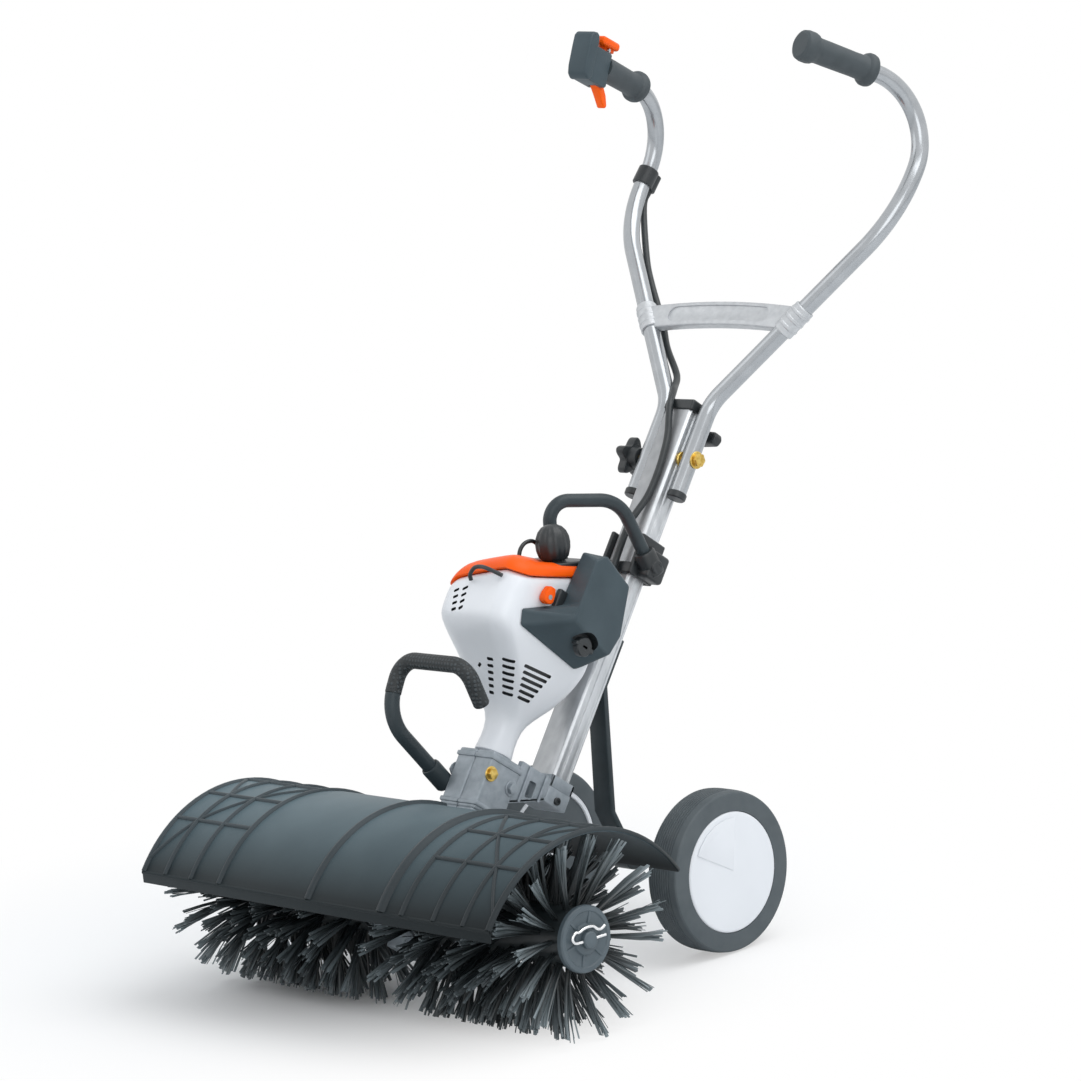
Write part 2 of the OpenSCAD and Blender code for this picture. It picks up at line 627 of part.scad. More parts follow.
module tyre_left() color("#33383b") tyre();
module tyre_right() color("#33383b") mirror([1, 0, 0]) tyre();
module wheel_left() color("whitesmoke") wheel();
module wheel_right() color("whitesmoke") mirror([1, 0, 0]) wheel();

// Engine shroud: a funnel that swells over the clutch and then over the cylinder
shroud_level_shares = [0, 0.19, 0.41, 0.57, 1.1];
shroud_front_shares = [0.18, 0.18, 0.62, 1, 1];
shroud_rear_shares = [0.407, 0.407, 0.9, 1, 1];
shroud_half_shares = [0.355, 0.355, 0.85, 1, 1];
module shroud_slice(i, inset, h) translate([0, 0, shroud_len*shroud_level_shares[i]]) {
    corner = neck_r - inset;
    front = shroud_front*shroud_front_shares[i] - neck_r;
    rear = max(shroud_rear*shroud_rear_shares[i] - neck_r, 0);
    half = max(shroud_half*shroud_half_shares[i] - neck_r, 0);
    for (x = [-half, half]) for (q = [-front, rear])
        translate([x, q, 0]) cylinder(r = corner, h = h, $fn = hull_fn);
}
skin = 0.2;
module shroud_solid(inset) for (i = [0:len(shroud_level_shares) - 2]) hull() {
    shroud_slice(i, inset, skin);
    shroud_slice(i + 1, inset, skin);
}
module above_top() translate([0, 0, shroud_len]) rotate([top_slope, 0, 0])
    translate([-2*shroud_half, -2*shroud_front, 0]) cube([4*shroud_half, 4*shroud_front, shroud_len]);
module engine_shroud() color("whitesmoke") in_frame() drive_frame() difference() {
    shroud_solid(0);
    translate([0, 0, -over]) cylinder(r = neck_r - shroud_t, h = 2*over, $fn = hull_fn);
    shroud_solid(shroud_t);
    above_top();
}

// Top cover: a slab on the sloping top of the shroud, drawn in the slope's own frame
cover_front = shroud_front/cos(top_slope) - 3*seat_gap;
cover_back = shroud_rear*0.5;
cover_rise = 9;
module cover_form() hull() {
    corner = neck_r;
    for (x = [-1, 1]) for (share = [0.14, 0.5])
        translate([x*(shroud_half - corner), share*cover_back - (1 - share)*cover_front, 0])
            cylinder(r = corner*0.6, h = top_cover_t + cover_rise, $fn = hull_fn);
    for (x = [-1, 1]) for (v = [-cover_front + corner, cover_back - corner])
        translate([x*(shroud_half - corner), v, 0]) {
            cylinder(r = corner, h = top_cover_t*0.5, $fn = hull_fn);
            cylinder(r = corner*0.7, h = top_cover_t, $fn = hull_fn);
        }
}
module top_cover() color("orangered") in_frame() top_frame() cover_form();

// Engine inside: crankcase with finned cylinder, crankshaft with flywheel fan, muffler
flange_s = shroud_len*shroud_level_shares[2];
flange_r = shroud_rear*shroud_rear_shares[2] - shroud_t - seat_gap;
flange_t = 6;
case_r = 36;
case_len = 72;
crank_d = 20;
barrel_r = 22;
barrel_reach = 96;
fin_r = 26;
barrel_s = 150;
fin_t = 3;
fin_shares = [0.5, 0.6, 0.7, 0.8, 0.9];
module engine_block() color("gray") in_frame() drive_frame() difference() {
    union() {
        translate([0, 0, flange_s]) cylinder(r = flange_r, h = flange_t);
        translate([0, 0, flange_s]) cylinder(r = case_r, h = case_len);
        translate([0, 0, barrel_s]) rotate([90, 0, 0]) {
            cylinder(r = barrel_r, h = barrel_reach);
            for (k = fin_shares) translate([0, 0, k*barrel_reach]) cylinder(r = fin_r, h = fin_t);
        }
    }
    translate([0, 0, flange_s - over]) cylinder(d = crank_d + 2*run_fit, h = case_len + 2*over);
}
shoe_r = 25;
shoe_h = 12;
fan_r = 46;
fan_t = 12;
fan_gap = 6;
module crankshaft() color("lightsteelblue") in_frame() drive_frame() {
    translate([0, 0, drum_s + drum_t + seat_gap]) cylinder(r = shoe_r, h = shoe_h);
    translate([0, 0, drum_s + drum_t + seat_gap])
        cylinder(d = crank_d, h = flange_s + case_len + fan_gap + fan_t - drum_s - drum_t - seat_gap);
    translate([0, 0, flange_s + case_len + fan_gap]) cylinder(r = fan_r, h = fan_t);
}
muffler_w = 40;
muffler_q = 34;
muffler_h = 38;
module muffler() color("dimgray") in_frame() drive_frame()
    translate([-shroud_half + shroud_t + seat_gap, -shroud_front + neck_r,
        shroud_len*shroud_level_shares[3]])
        cube([muffler_w/2, muffler_q, muffler_h]);

// Intake side: carburettor, choke and the boot-shaped air filter cover
carb_w = 26;
carb_q = 30;
carb_h = 34;
carb_s_share = 0.8;
choke_q = -68;
choke_s = 186;
choke_pin_d = 6;
choke_r = 8;
choke_t = 12;
near_x = shroud_half + seat_gap;
module carburettor() color("lightgray") in_frame() drive_frame() {
    translate([near_x, -carb_q/2, shroud_len*carb_s_share - carb_h/2]) cube([carb_w, carb_q, carb_h]);
    translate([0, choke_q, choke_s]) bar_x(choke_pin_d/2, near_x, near_x + choke_t + seat_gap);
}
module choke_knob() color("orangered") in_frame() drive_frame() translate([0, choke_q,
    choke_s]) difference() {
    union() {
        bar_x(choke_r, near_x + seat_gap, near_x + choke_t);
        translate([near_x + seat_gap, -choke_r/3, 0]) cube([choke_t - seat_gap, 2*choke_r/3,
            1.6*choke_r]);
    }
    bar_x(choke_pin_d/2 + run_fit, 0, near_x + 2*choke_t);
}
filter_low_s = 114;
filter_h = 154;
filter_front_q = -97;
filter_len = 142;
filter_t = 3;
filter_back_shares = [[0.44, 0.96], [0.64, 1], [0.89, 0.88], [1, 0.42], [0.92, 0.19], [0.81, 0.09],
    [0.06, 0.16],
    [0.01, 0.29], [0.4, 0.49]];
filter_face_shares = [[0.39, 0.88], [0.49, 0.96], [0.85, 0.85], [0.95, 0.46], [0.92, 0.29], [0.88,
    0.27], [0.42, 0.36],
    [0.4, 0.4], [0.39, 0.49]];
boot_corners = [0, 1, 2, 3, 4, 8];
toe_corners = [4, 5, 6, 7, 8];
module filter_slice(shares, corners, inset, x, t) {
    inner_share = 1 - 2*inset/filter_h;
    mid = [filter_len*0.64, filter_h*0.4];
    translate([x, 0, 0]) across(t) polygon([for (i = corners)
        [filter_front_q, filter_low_s] + mid
            + inner_share*([shares[i][0]*filter_len, shares[i][1]*filter_h] - mid)]);
}
module filter_form(inset, back) for (corners = [boot_corners, toe_corners]) hull() {
    filter_slice(filter_back_shares, corners, 2*inset, near_x - back, skin);
    filter_slice(filter_face_shares, corners, 2*inset, near_x + filter_depth - inset - skin, skin);
}
knob_q = -6;
knob_s = 150;
knob_x = near_x + 0.62*filter_depth;
knob_pin_d = 8;
knob_r = 12;
knob_t = 10;
knob_dish_r = 18;
module on_knob() drive_frame() translate([0, knob_q, knob_s]) children();
module air_filter_cover() color("#454c50") in_frame() {
    difference() {
        drive_frame() filter_form(0, 0);
        difference() {
            drive_frame() filter_form(filter_t, over);
            on_knob() bar_x(knob_dish_r + filter_t, 0, near_x + 2*filter_depth);
        }
        on_knob() bar_x(knob_dish_r, knob_x, near_x + 2*filter_depth);
    }
    on_knob() bar_x(knob_pin_d/2, knob_x - filter_t, knob_x + knob_t);
}
module filter_knob() color("#2c3133") in_frame() on_knob() difference() {
    union() {
        bar_x(knob_r, knob_x + seat_gap, knob_x + knob_t);
        translate([knob_x + seat_gap, -knob_r*1.3, -knob_r/4])
            cube([knob_t - seat_gap, knob_r*2.6, knob_r/2]);
    }
    bar_x(knob_pin_d/2 + run_fit, 0, knob_x + 2*knob_t);
}

// Fuel tank and cap on the far side of the engine
tank_depth = 32;
tank_q = 84;
tank_h = 80;
tank_low_s = 142;
tank_corner = 12;
cap_r = 15.5;
cap_h = 14;
filler_r = 11;
module fuel_tank() color("white") in_frame() drive_frame() {
    translate([-near_x - tank_depth, -tank_q/2, tank_low_s]) hull()
        for (q = [tank_corner, tank_q - tank_corner]) for (s = [tank_corner, tank_h - tank_corner])
            translate([0, q, s]) rotate([0, 90, 0]) cylinder(r = tank_corner, h = tank_depth,
                $fn = hull_fn);
    translate([-near_x - tank_depth/2, -tank_q/4, tank_low_s + tank_h - over]) cylinder(r = filler_r,
        h = cap_h);
}
module fuel_cap() color("black") in_frame() drive_frame()
    translate([-near_x - tank_depth/2, -tank_q/4, tank_low_s + tank_h + seat_gap]) difference() {
        cylinder(r = cap_r, h = cap_h + filter_t);
        translate([0, 0, -over]) cylinder(r = filler_r + run_fit, h = cap_h + over);
    }

// Starter: a housing on the top cover with the rope guide and the socket of the carry handle
cover_tilt = top_slope - lean;
cover_top = driven(0, 0, shroud_len) + (top_cover_t + cover_rise)*[0, -sin(cover_tilt), cos(cover_tilt)];
function cover_z(y) = cover_top[2] + (y - cover_top[1])*tan(cover_tilt);
carry_back = 131;
carry_top_y = neck_y + carry_back;
socket_r = 14;
socket_h = 26;
socket_z = cover_z(carry_top_y) + socket_h;
pull_x = 30;
pull_back = 105;
pull_y = neck_y + pull_back;
guide_r = 10;
guide_h = 5;
rope_in = 4;
pull_z = cover_z(pull_y) + guide_h;
rope_d = 5;
module upright_at(x, y, z) translate([x, y, z]) children();
module starter_housing() color("#2b2f31") in_frame() difference() {
    intersection() {
        union() {
            upright_at(0, carry_top_y, 0) cylinder(r = socket_r, h = socket_z);
            upright_at(pull_x, pull_y, 0) cylinder(r = guide_r, h = pull_z);
        }
        top_frame() translate([-2*shroud_half, -2*shroud_front, top_cover_t*0.5])
            cube([4*shroud_half, 4*shroud_front, shroud_len]);
    }
    top_frame() cover_form();
    upright_at(0, carry_top_y, socket_z - socket_r) cylinder(d = carry_d + 2*run_fit, h = socket_r
        + over);
    upright_at(pull_x, pull_y, pull_z - rope_in) cylinder(d = rope_d + 2*seat_gap, h = rope_in + over);
}
bulb_h = 42;
bulb_outline_shares = [[0, 0], [0.55, 0], [0.9, 0.2], [1, 0.45], [0.88, 0.75], [0.55, 0.95], [0.3, 1],
    [0, 1]];
module starter_grip() color("#202426") in_frame() upright_at(pull_x, pull_y, pull_z + seat_gap)
    rotate_extrude() polygon([for (k = bulb_outline_shares) [k[0]*grip_bulb_r, k[1]*bulb_h]]);
module starter_rope() color("black") in_frame() upright_at(pull_x, pull_y, pull_z - rope_in)
    cylinder(d = rope_d, h = rope_in + seat_gap);

// Carry handle from a clamp on the column over the engine, and its clamp
clamp_s = 286;
clamp_h = 54;
clamp_t = 6;
clamp_boss_w = 19;
carry_x = column_w/2 + clamp_t + clamp_boss_w/2;
carry_bends = [45, 24];
carry_rise = [-8, -40, 98];
carry_low = driven(carry_x, column_gap + column_depth/4, clamp_s + clamp_h/4);
carry_knee = carry_low + carry_rise;
carry_top_rise = 45;
carry_top_z = socket_z + carry_top_rise;
carry_top = [0, carry_top_y, carry_top_z];
carry_path = [carry_low, carry_knee, carry_top, [0, carry_top_y, socket_z - socket_r]];
module carry_handle() color("#2e3336") in_frame() bent_tube(carry_path, carry_bends, carry_d/2, 0);
module handle_clamp() color("#26292b") in_frame() difference() {
    drive_frame() union() {
        translate([-column_w/2 - clamp_t, column_gap - column_depth/2 - clamp_t, clamp_s])
            cube([column_w + 2*clamp_t, column_depth + 2*clamp_t, clamp_h]);
        translate([column_w/2, column_gap - clamp_boss_w/2, clamp_s])
            cube([clamp_t + clamp_boss_w, clamp_boss_w*1.6, clamp_h*0.7]);
    }
    drive_frame() translate([-column_w/2 - seat_gap, column_gap - column_depth/2 - seat_gap,
        clamp_s - over])
        cube([column_w + 2*seat_gap, column_depth + 2*seat_gap, clamp_h + 2*over]);
    along(carry_low, carry_rise) cylinder(d = carry_d + 2*run_fit, h = clamp_h);
}

// Front handle: one leg from the gearbox, a grip across the machine and a hooked end
front_root_q = -22;
front_root_s = -47;
front_root = driven(-casing_w/2 - front_handle_d/2 - seat_gap, front_root_q, front_root_s);
front_leg = [-14, -68, 93];
front_knee = front_root + front_leg;
front_bar_half = 57;
front_bar_back = 35;
front_bar_up = 64;
front_hook = [6, 14, -48];
front_bar_y = front_knee[1] + front_bar_back;
front_bar_z = front_knee[2] + front_bar_up;
front_path = [front_root, front_knee, [-front_bar_half, front_bar_y, front_bar_z],
    [front_bar_half, front_bar_y, front_bar_z], [front_bar_half, front_bar_y, front_bar_z] + front_hook];
front_bends = [55, 24, 24];
front_boss_t = 5;
front_boss_len = 34;
module front_handle() color("#33383b") in_frame() bent_tube(front_path, front_bends, front_handle_d/2, 0);

// Handlebar pivot: bolt with washers and nut through both tubes and the column
pivot_d = 10;
washer_r = 10;
nut_r = 9;
nut_t = 8;
knob_hub_t = 24;
tube_out_x = tube_x + tube_d/2;
module on_pivot() drive_frame() translate([0, column_gap, pivot_s]) children();
module pivot_bolt() color("goldenrod") in_frame() on_pivot() {
    bar_x(pivot_d/2, -tube_out_x - knob_hub_t, tube_out_x + nut_t);
    both_sides() bar_x(washer_r, column_w/2, column_w/2 + washer_t - seat_gap);
    translate([tube_out_x + seat_gap, 0, 0]) rotate([0, 90, 0]) cylinder(r = nut_r, h = nut_t, $fn = 6);
}
star_lobes = 5;
star_lobe_r = 9;
star_r = 17;
module star_knob() color("#25292b") in_frame() on_pivot() difference() {
    translate([-tube_out_x - knob_hub_t, 0, 0]) rotate([0, 90, 0]) {
        cylinder(r = star_r, h = knob_hub_t - seat_gap);
        for (k = [0:star_lobes - 1]) rotate(360*k/star_lobes) translate([star_r, 0, 0])
            cylinder(r = star_lobe_r, h = knob_hub_t/2);
    }
    bar_x(pivot_d/2 + run_fit, -2*tube_out_x, 0);
}
wing_s = 503;
stud_d = 8;
stud_in = 14;
wing_hub_r = 10;
wing_hub_len = 32;
wing_len = 50;
wing_t = 12;
module on_wing() drive_frame() translate([0, column_back, wing_s]) rotate([-90, 0, 0]) children();
module wing_knob() color("#25292b") in_frame() on_wing() {
    translate([0, 0, -stud_in]) cylinder(d = stud_d, h = stud_in + seat_gap);
    translate([0, 0, seat_gap]) cylinder(r = wing_hub_r, h = wing_hub_len);
    translate([-wing_len/2, -wing_t/2, wing_hub_len - wing_t/2]) cube([wing_len, wing_t, wing_t]);
}

// Handlebar tubes with end plugs, joined by a cast cross brace
module handle_tube() difference() {
    bent_tube(bar_path, tube_bends, tube_d/2, tube_d/2 - tube_t);
    on_pivot() bar_x(pivot_d/2 + run_fit, 0, 2*tube_out_x);
}
module handle_tube_left() color("silver") in_frame() handle_tube();
module handle_tube_right() color("silver") in_frame() mirror([1, 0, 0]) handle_tube();
plug_lip = 1.5;
plug_head = 9;
plug_len = 18;
module tube_plugs() color("#303537") in_frame() both_sides() along(bar_0, bar_1 - bar_0) {
    cylinder(r = tube_d/2 - tube_t - run_fit, h = plug_len);
    translate([0, 0, -plug_head]) cylinder(r = tube_d/2 + plug_lip, h = plug_head);
}
brace_up = 150;
brace_sleeve_t = 4;
spread_dir = unit(tube_spread);
brace_mid = bar_1 + spread_dir*brace_up;
brace_slope = unit([0, tube_spread[1], tube_spread[2]]);
brace_panel_share = 0.6;
brace_panel_d = 2;
module brace_frame()
    axes_at([0, brace_mid[1], brace_mid[2]], [1, 0, 0], brace_slope, cross([1, 0, 0],
        brace_slope)) children();
module cross_brace() color("lightgray") in_frame() difference() {
    union() {
        rise_share = spread_dir[0]/norm([spread_dir[1], spread_dir[2]]);
        top_x = brace_mid[0] + rise_share*brace_h/2;
        low_x = brace_mid[0] - rise_share*brace_h/2;
        brace_frame() translate([0, 0, -brace_t/2]) linear_extrude(brace_t)
            polygon([[-low_x, -brace_h/2], [low_x, -brace_h/2], [top_x, brace_h/2], [-top_x, brace_h/2]]);
        both_sides() along(brace_mid - spread_dir*brace_h*0.6, spread_dir)
            cylinder(r = tube_d/2 + brace_sleeve_t, h = brace_h*1.2);
    }
    both_sides() along(brace_mid - spread_dir*brace_h, spread_dir)
        cylinder(r = tube_d/2 + run_fit, h = 2*brace_h);
    brace_frame() translate([-brace_panel_share*brace_mid[0], -brace_h/4, brace_t/2 - brace_panel_d])
        cube([2*brace_panel_share*brace_mid[0], brace_h/2, brace_panel_d + over]);
}

// Grips, drawn from their inner flange along the tube
grip_flange_lip = 5;
grip_flange_r = grip_r + grip_flange_lip;
grip_flange_t = 12;
grip_end_lip = 4;
grip_end_r = grip_r + grip_end_lip;
grip_end_t = 20;
grip_cap_t = 6;
grip_start = bar_4 - grip_dir*grip_len;
right_grip_back = 122;
right_grip_start = bar_4 - grip_dir*right_grip_back;
module grip_left() color("#2b3033") in_frame() along(grip_start, grip_dir) difference() {
    union() {
        cylinder(r = grip_flange_r, h = grip_flange_t);
        cylinder(r = grip_r, h = grip_len + grip_cap_t);
        translate([0, 0, grip_len + grip_cap_t - grip_end_t]) cylinder(r = grip_end_r, h = grip_end_t);
    }
    translate([0, 0, -over]) cylinder(r = tube_d/2 + run_fit, h = grip_len + over);
}
module grip_right() color("#2b3033") in_frame() mirror([1, 0, 0])
        along(right_grip_start, grip_dir) difference() {
    union() {
        cylinder(r = grip_flange_r, h = grip_flange_t);
        cylinder(r = grip_r, h = right_grip_len);
    }
    translate([0, 0, -over]) cylinder(r = tube_d/2 + run_fit, h = right_grip_len + 2*over);
}

// Throttle housing at the right grip's end; in its frame x points down and z forward
housing_up = 34;
housing_down = 30;
housing_w = 38;
housing_len = 54;
housing_corner = 12;
shield_share = 0.5;
housing_neck_w = 26;
neck_corner = 6;
trigger_x = 22;
trigger_z = 8;
trigger_w = 12;
trigger_pin_d = 5;
trigger_hub_r = 6;
trigger_reach = [27, -24];
switch_x = -22;
switch_r = 9;
switch_hub_r = 5.4;
switch_w = 10;
switch_pin_d = 5;
paddle_w = 24;
paddle_back = [-18, -6.5];
pin_side = 4;
module housing_frame() mirror([1, 0, 0])
    along(right_grip_start + grip_dir*(right_grip_len + seat_gap), grip_dir) children();
module bar_y(r, w) translate([0, w/2, 0]) rotate([90, 0, 0]) cylinder(r = r, h = w);
module round_block(up, down, low, high, w, corner) hull()
    for (x = [-up + corner, down - corner]) for (z = [low + corner, high - corner]) translate([x, 0, z])
        rotate([90, 0, 0]) cylinder(r = corner, h = w, center = true, $fn = hull_fn);
module throttle_housing() color("#3a4043") in_frame() housing_frame() difference() {
    union() {
        round_block(housing_up, housing_down, housing_len*(1 - shield_share), housing_len, housing_w,
            housing_corner);
        round_block(housing_up*0.9, housing_down*0.96, 0, housing_len*0.8, housing_neck_w, neck_corner);
    }
    translate([0, 0, -over]) cylinder(r = tube_d/2 + run_fit, h = right_grip_back - right_grip_len
        + over);
    translate([tube_d/2 + tube_t, -trigger_w/2 - seat_gap, -over])
        cube([housing_down, trigger_w + 2*seat_gap, trigger_z + trigger_hub_r + seat_gap + over]);
    translate([trigger_x, 0, trigger_z]) bar_y(trigger_pin_d/2 + run_fit, trigger_w + 2*pin_side
        + seat_gap);
    translate([switch_x - switch_r - seat_gap, -switch_w/2 - seat_gap, -over])
        cube([switch_r + seat_gap - switch_x - tube_d/2 - tube_t, switch_w + 2*seat_gap, 1.6*switch_r
            + over]);
    translate([switch_x, 0, switch_r/3]) bar_y(switch_pin_d/2 + run_fit, switch_w + 2*pin_side
        + seat_gap);
}
module throttle_trigger() color("orangered") in_frame() housing_frame() translate([trigger_x, 0,
    trigger_z]) {
    bar_y(trigger_pin_d/2, trigger_w + 2*pin_side);
    bar_y(trigger_hub_r, trigger_w);
    rotate([90, 0, 0]) translate([0, 0, -trigger_w/2]) linear_extrude(trigger_w)
        polygon([[-trigger_hub_r/2, 0], [trigger_hub_r, 0], trigger_reach + [trigger_hub_r/2, 0],
            trigger_reach - [trigger_hub_r/2, trigger_hub_r/2], [0, -trigger_z - trigger_hub_r/2]]);
}
module stop_switch() color("orangered") in_frame() housing_frame() translate([switch_x, 0, switch_r/3]) {
    bar_y(switch_pin_d/2, switch_w + 2*pin_side);
    bar_y(switch_hub_r, switch_w);
    translate([-switch_r, -switch_w/2, paddle_back[0]]) cube([switch_r*0.75, switch_w, -paddle_back[0]]);
    translate([-switch_r, -paddle_w/2, paddle_back[0]])
        cube([switch_r*0.75, paddle_w, paddle_back[1] - paddle_back[0]]);
}

// Throttle cable: clipped behind the right tube, over the pivot and down the column
cable_sides = 10;
mirrored_spread = [-spread_dir[0], spread_dir[1], spread_dir[2]];
mirrored_1 = [-bar_1[0], bar_1[1], bar_1[2]];
clear_lift = cable_lift + brace_sleeve_t;
cable_low_s = 428;
cable_front_q = column_gap - column_depth/2 - cable_r - seat_gap;
cable_tuck = 1;
upper_route = [mirrored_2 + mirrored_up*(clip_up - cable_tuck) + behind(mirrored_up)*cable_lift,
    mirrored_2 + mirrored_up*30 + behind(mirrored_up)*(cable_lift + 4),
    mirrored_1 + mirrored_spread*270 + behind(mirrored_spread)*(cable_lift + 3),
    mirrored_1 + mirrored_spread*220 + behind(mirrored_spread)*(cable_lift + 1),
    mirrored_1 + mirrored_spread*150 + behind(mirrored_spread)*clear_lift,
    mirrored_1 + mirrored_spread*100 + behind(mirrored_spread)*(cable_lift + 2),
    mirrored_1 + mirrored_spread*52 + behind(mirrored_spread)*(cable_lift + 3) + [6, -2, 0],
    driven(-42, 109, 566), driven(-28, 98, 553)];
bridge_route = [driven(-26.8, 96.2, 551.4), driven(-20, 85, 541), driven(-14, 73, 526), driven(-12, 74,
    505),
    driven(-12, cable_front_q, 470), driven(-12, cable_front_q, cable_low_s)];
lower_route = [driven(-12, cable_front_q, cable_low_s), driven(-10, cable_front_q, 390),
    driven(-4, cable_front_q - 7, 348), driven(4, cable_front_q - 7, 296), driven(13, 68, 272),
    driven(16, 64, 254), driven(17, shroud_rear + seat_gap + cable_r, 238)];
route_steps = 4;
module cable_upper() color("#26292b") in_frame()
    swept(smooth_route(upper_route, route_steps), cable_r, cable_sides);
module cable_bridge() color("#26292b") in_frame()
    swept(smooth_route(bridge_route, route_steps), cable_r, cable_sides);
module cable_lower() color("#26292b") in_frame()
    swept(smooth_route(lower_route, route_steps), cable_r, cable_sides);
module cable_clip() color("#1d2021") in_frame() difference() {
    union() {
        along(mirrored_2 + mirrored_up*clip_up, mirrored_up) cylinder(r = tube_d/2 + clip_t,
            h = clip_len);
        along(mirrored_2 + mirrored_up*clip_up + behind(mirrored_up)*cable_lift, mirrored_up)
            cylinder(r = cable_r + clip_t, h = clip_len);
    }
    mirror([1, 0, 0]) bent_bar(bar_path, tube_bends, tube_d/2 + seat_gap, 0);
}

// Ignition lead: a short loop from under the top cover to the front of the shroud
lead_r = 3.5;
lead_out = shroud_front + lead_r + seat_gap;
lead_top_s = shroud_len - shroud_front*tan(top_slope);
lead_route = [driven(-9, -lead_out, lead_top_s - 12), driven(-6, -lead_out - 7, lead_top_s - 2),
    driven(8, -lead_out - 11, lead_top_s + 7), driven(24, -lead_out - 11, lead_top_s + 6),
    driven(38, -lead_out - 5, lead_top_s - 3), driven(44, -lead_out, lead_top_s - 12)];
module ignition_lead() color("black") in_frame() swept(smooth_route(lead_route, route_steps), lead_r, 8);

main_column();
column_cap();
base_bracket();
gearbox_left_half();
gearbox_right_half();
gearbox_bolts();
brush_hood();
hood_screws();
axle_strut();
strut_bolts();
wheel_axle();
axle_collars();
engine_block();
muffler();
engine_shroud();
top_cover();
carburettor();
air_filter_cover();
fuel_tank();
starter_housing();
carry_handle();
handle_clamp();
front_handle();
cable_lower();
cable_bridge();
pivot_bolt();
ignition_lead();
fuel_cap();
filter_knob();
choke_knob();
starter_grip();
starter_rope();
handle_tube_left();
handle_tube_right();
tube_plugs();
cross_brace();
grip_left();
grip_right();
throttle_housing();
cable_clip();
cable_upper();
throttle_trigger();
stop_switch();
star_knob();
wing_knob();
tyre_left();
wheel_left();
tyre_right();
wheel_right();
output_shaft();
worm_wheel();
brush_core_left();
brush_core_right();
bristles_left();
bristles_right();
r_clips();
worm_shaft();
crankshaft();
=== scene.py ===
import random
from math import acos, copysign, cos, degrees, pi, radians, sin, tan, tau

import bpy
from mathutils import Matrix, Vector


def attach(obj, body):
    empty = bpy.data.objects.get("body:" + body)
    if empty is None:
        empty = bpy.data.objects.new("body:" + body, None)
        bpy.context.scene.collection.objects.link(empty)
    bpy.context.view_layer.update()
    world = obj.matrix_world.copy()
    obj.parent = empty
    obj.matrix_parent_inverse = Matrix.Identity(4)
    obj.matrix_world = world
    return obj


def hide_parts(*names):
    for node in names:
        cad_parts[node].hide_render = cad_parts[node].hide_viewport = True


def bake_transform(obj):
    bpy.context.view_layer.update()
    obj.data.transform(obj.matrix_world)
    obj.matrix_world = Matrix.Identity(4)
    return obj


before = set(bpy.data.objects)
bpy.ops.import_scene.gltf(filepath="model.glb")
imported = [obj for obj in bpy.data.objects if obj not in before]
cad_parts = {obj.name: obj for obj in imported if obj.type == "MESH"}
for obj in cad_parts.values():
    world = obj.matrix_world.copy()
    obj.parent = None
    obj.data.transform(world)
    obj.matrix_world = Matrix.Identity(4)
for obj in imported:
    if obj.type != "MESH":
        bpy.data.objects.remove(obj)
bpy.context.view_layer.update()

# Places. Lengths in the tables below are millimetres from the brush axis, X to the operator's left.
MM = 0.001
MIDDLE = Vector((0, 0.307094394, 0))
LEAN = radians(35.4)
SHAFT = Vector((0, sin(LEAN), cos(LEAN)))
BACK = Vector((0, cos(LEAN), -sin(LEAN)))
ACROSS = Vector((1, 0, 0))
UP = Vector((0, 0, 1))
NECK = Vector((0, 0.157151, 0.272081)) - MIDDLE
SIDES = ((1, "left"), (-1, "right"))


def spot(x, y, z):
    """A place measured from the brush axis."""
    return Vector((x, y, z)) * MM - MIDDLE


def driven(x, q, s):
    """A place measured from the drive's neck: across, behind and along the leaning shaft."""
    return NECK + (ACROSS * x + BACK * q + SHAFT * s) * MM


def mirrored(points):
    return [Vector((-p.x, p.y, p.z)) for p in points]


def spoke(a):
    """The ways out from and round an axis across the machine, at an angle from the top."""
    return Vector((0, sin(a), cos(a))), Vector((0, cos(a), -sin(a)))


def turns(count):
    """Even steps round a circle."""
    return [tau * k / count for k in range(count)]


# The camera stands where the picture was taken from. FOCAL and CENTRE are in the picture's pixels.
FOCAL, CENTRE = 3977.5, 540.5
SENSOR, LENS = 36, 132.46
TURN, RISE, ROLL = radians(47.59), radians(8.57), radians(-5.46)
AIM, DISTANCE = spot(0, 270.0, 518.4), 4.8548


def add_camera():
    back = Vector((sin(TURN) * cos(RISE), -cos(TURN) * cos(RISE), sin(RISE)))
    right = Vector((cos(TURN), sin(TURN), 0))
    up = back.cross(right)
    side = right * cos(ROLL) + up * sin(ROLL)
    top = up * cos(ROLL) - right * sin(ROLL)
    stand = AIM + back * DISTANCE
    bpy.ops.object.camera_add(location=stand)
    camera = bpy.context.object
    camera.matrix_world = Matrix.Translation(stand) @ Matrix((side, top, back)).transposed().to_4x4()
    camera.data.sensor_width = SENSOR
    camera.data.lens = LENS
    camera.data.clip_end = 60
    bpy.context.scene.camera = camera
    bpy.context.view_layer.update()
    return camera


def sight(camera, px, py):
    """The line of sight through a point of the picture."""
    ray = Vector(((px - CENTRE) / FOCAL, -(py - CENTRE) / FOCAL, -1)).normalized()
    return camera.matrix_world.translation, camera.matrix_world.to_3x3() @ ray


def sighted(camera, px, py, x):
    """The place on a plane across the machine that a point of the picture shows."""
    start, ray = sight(camera, px, py)
    return start + ray * ((x * MM - start.x) / ray.x)


def seen(camera, piece, px, py):
    """Whether a line of sight meets a piece, where, and the way the surface faces there."""
    return piece.ray_cast(*sight(camera, px, py))[:3]


# Finishes
def feed(tree, node, inputs):
    """Sets the inputs of a shader node to plain values, or links them to the sockets given."""
    for key, value in inputs.items():
        if isinstance(value, bpy.types.NodeSocket):
            tree.links.new(value, node.inputs[key])
        else:
            node.inputs[key].default_value = value
    return node


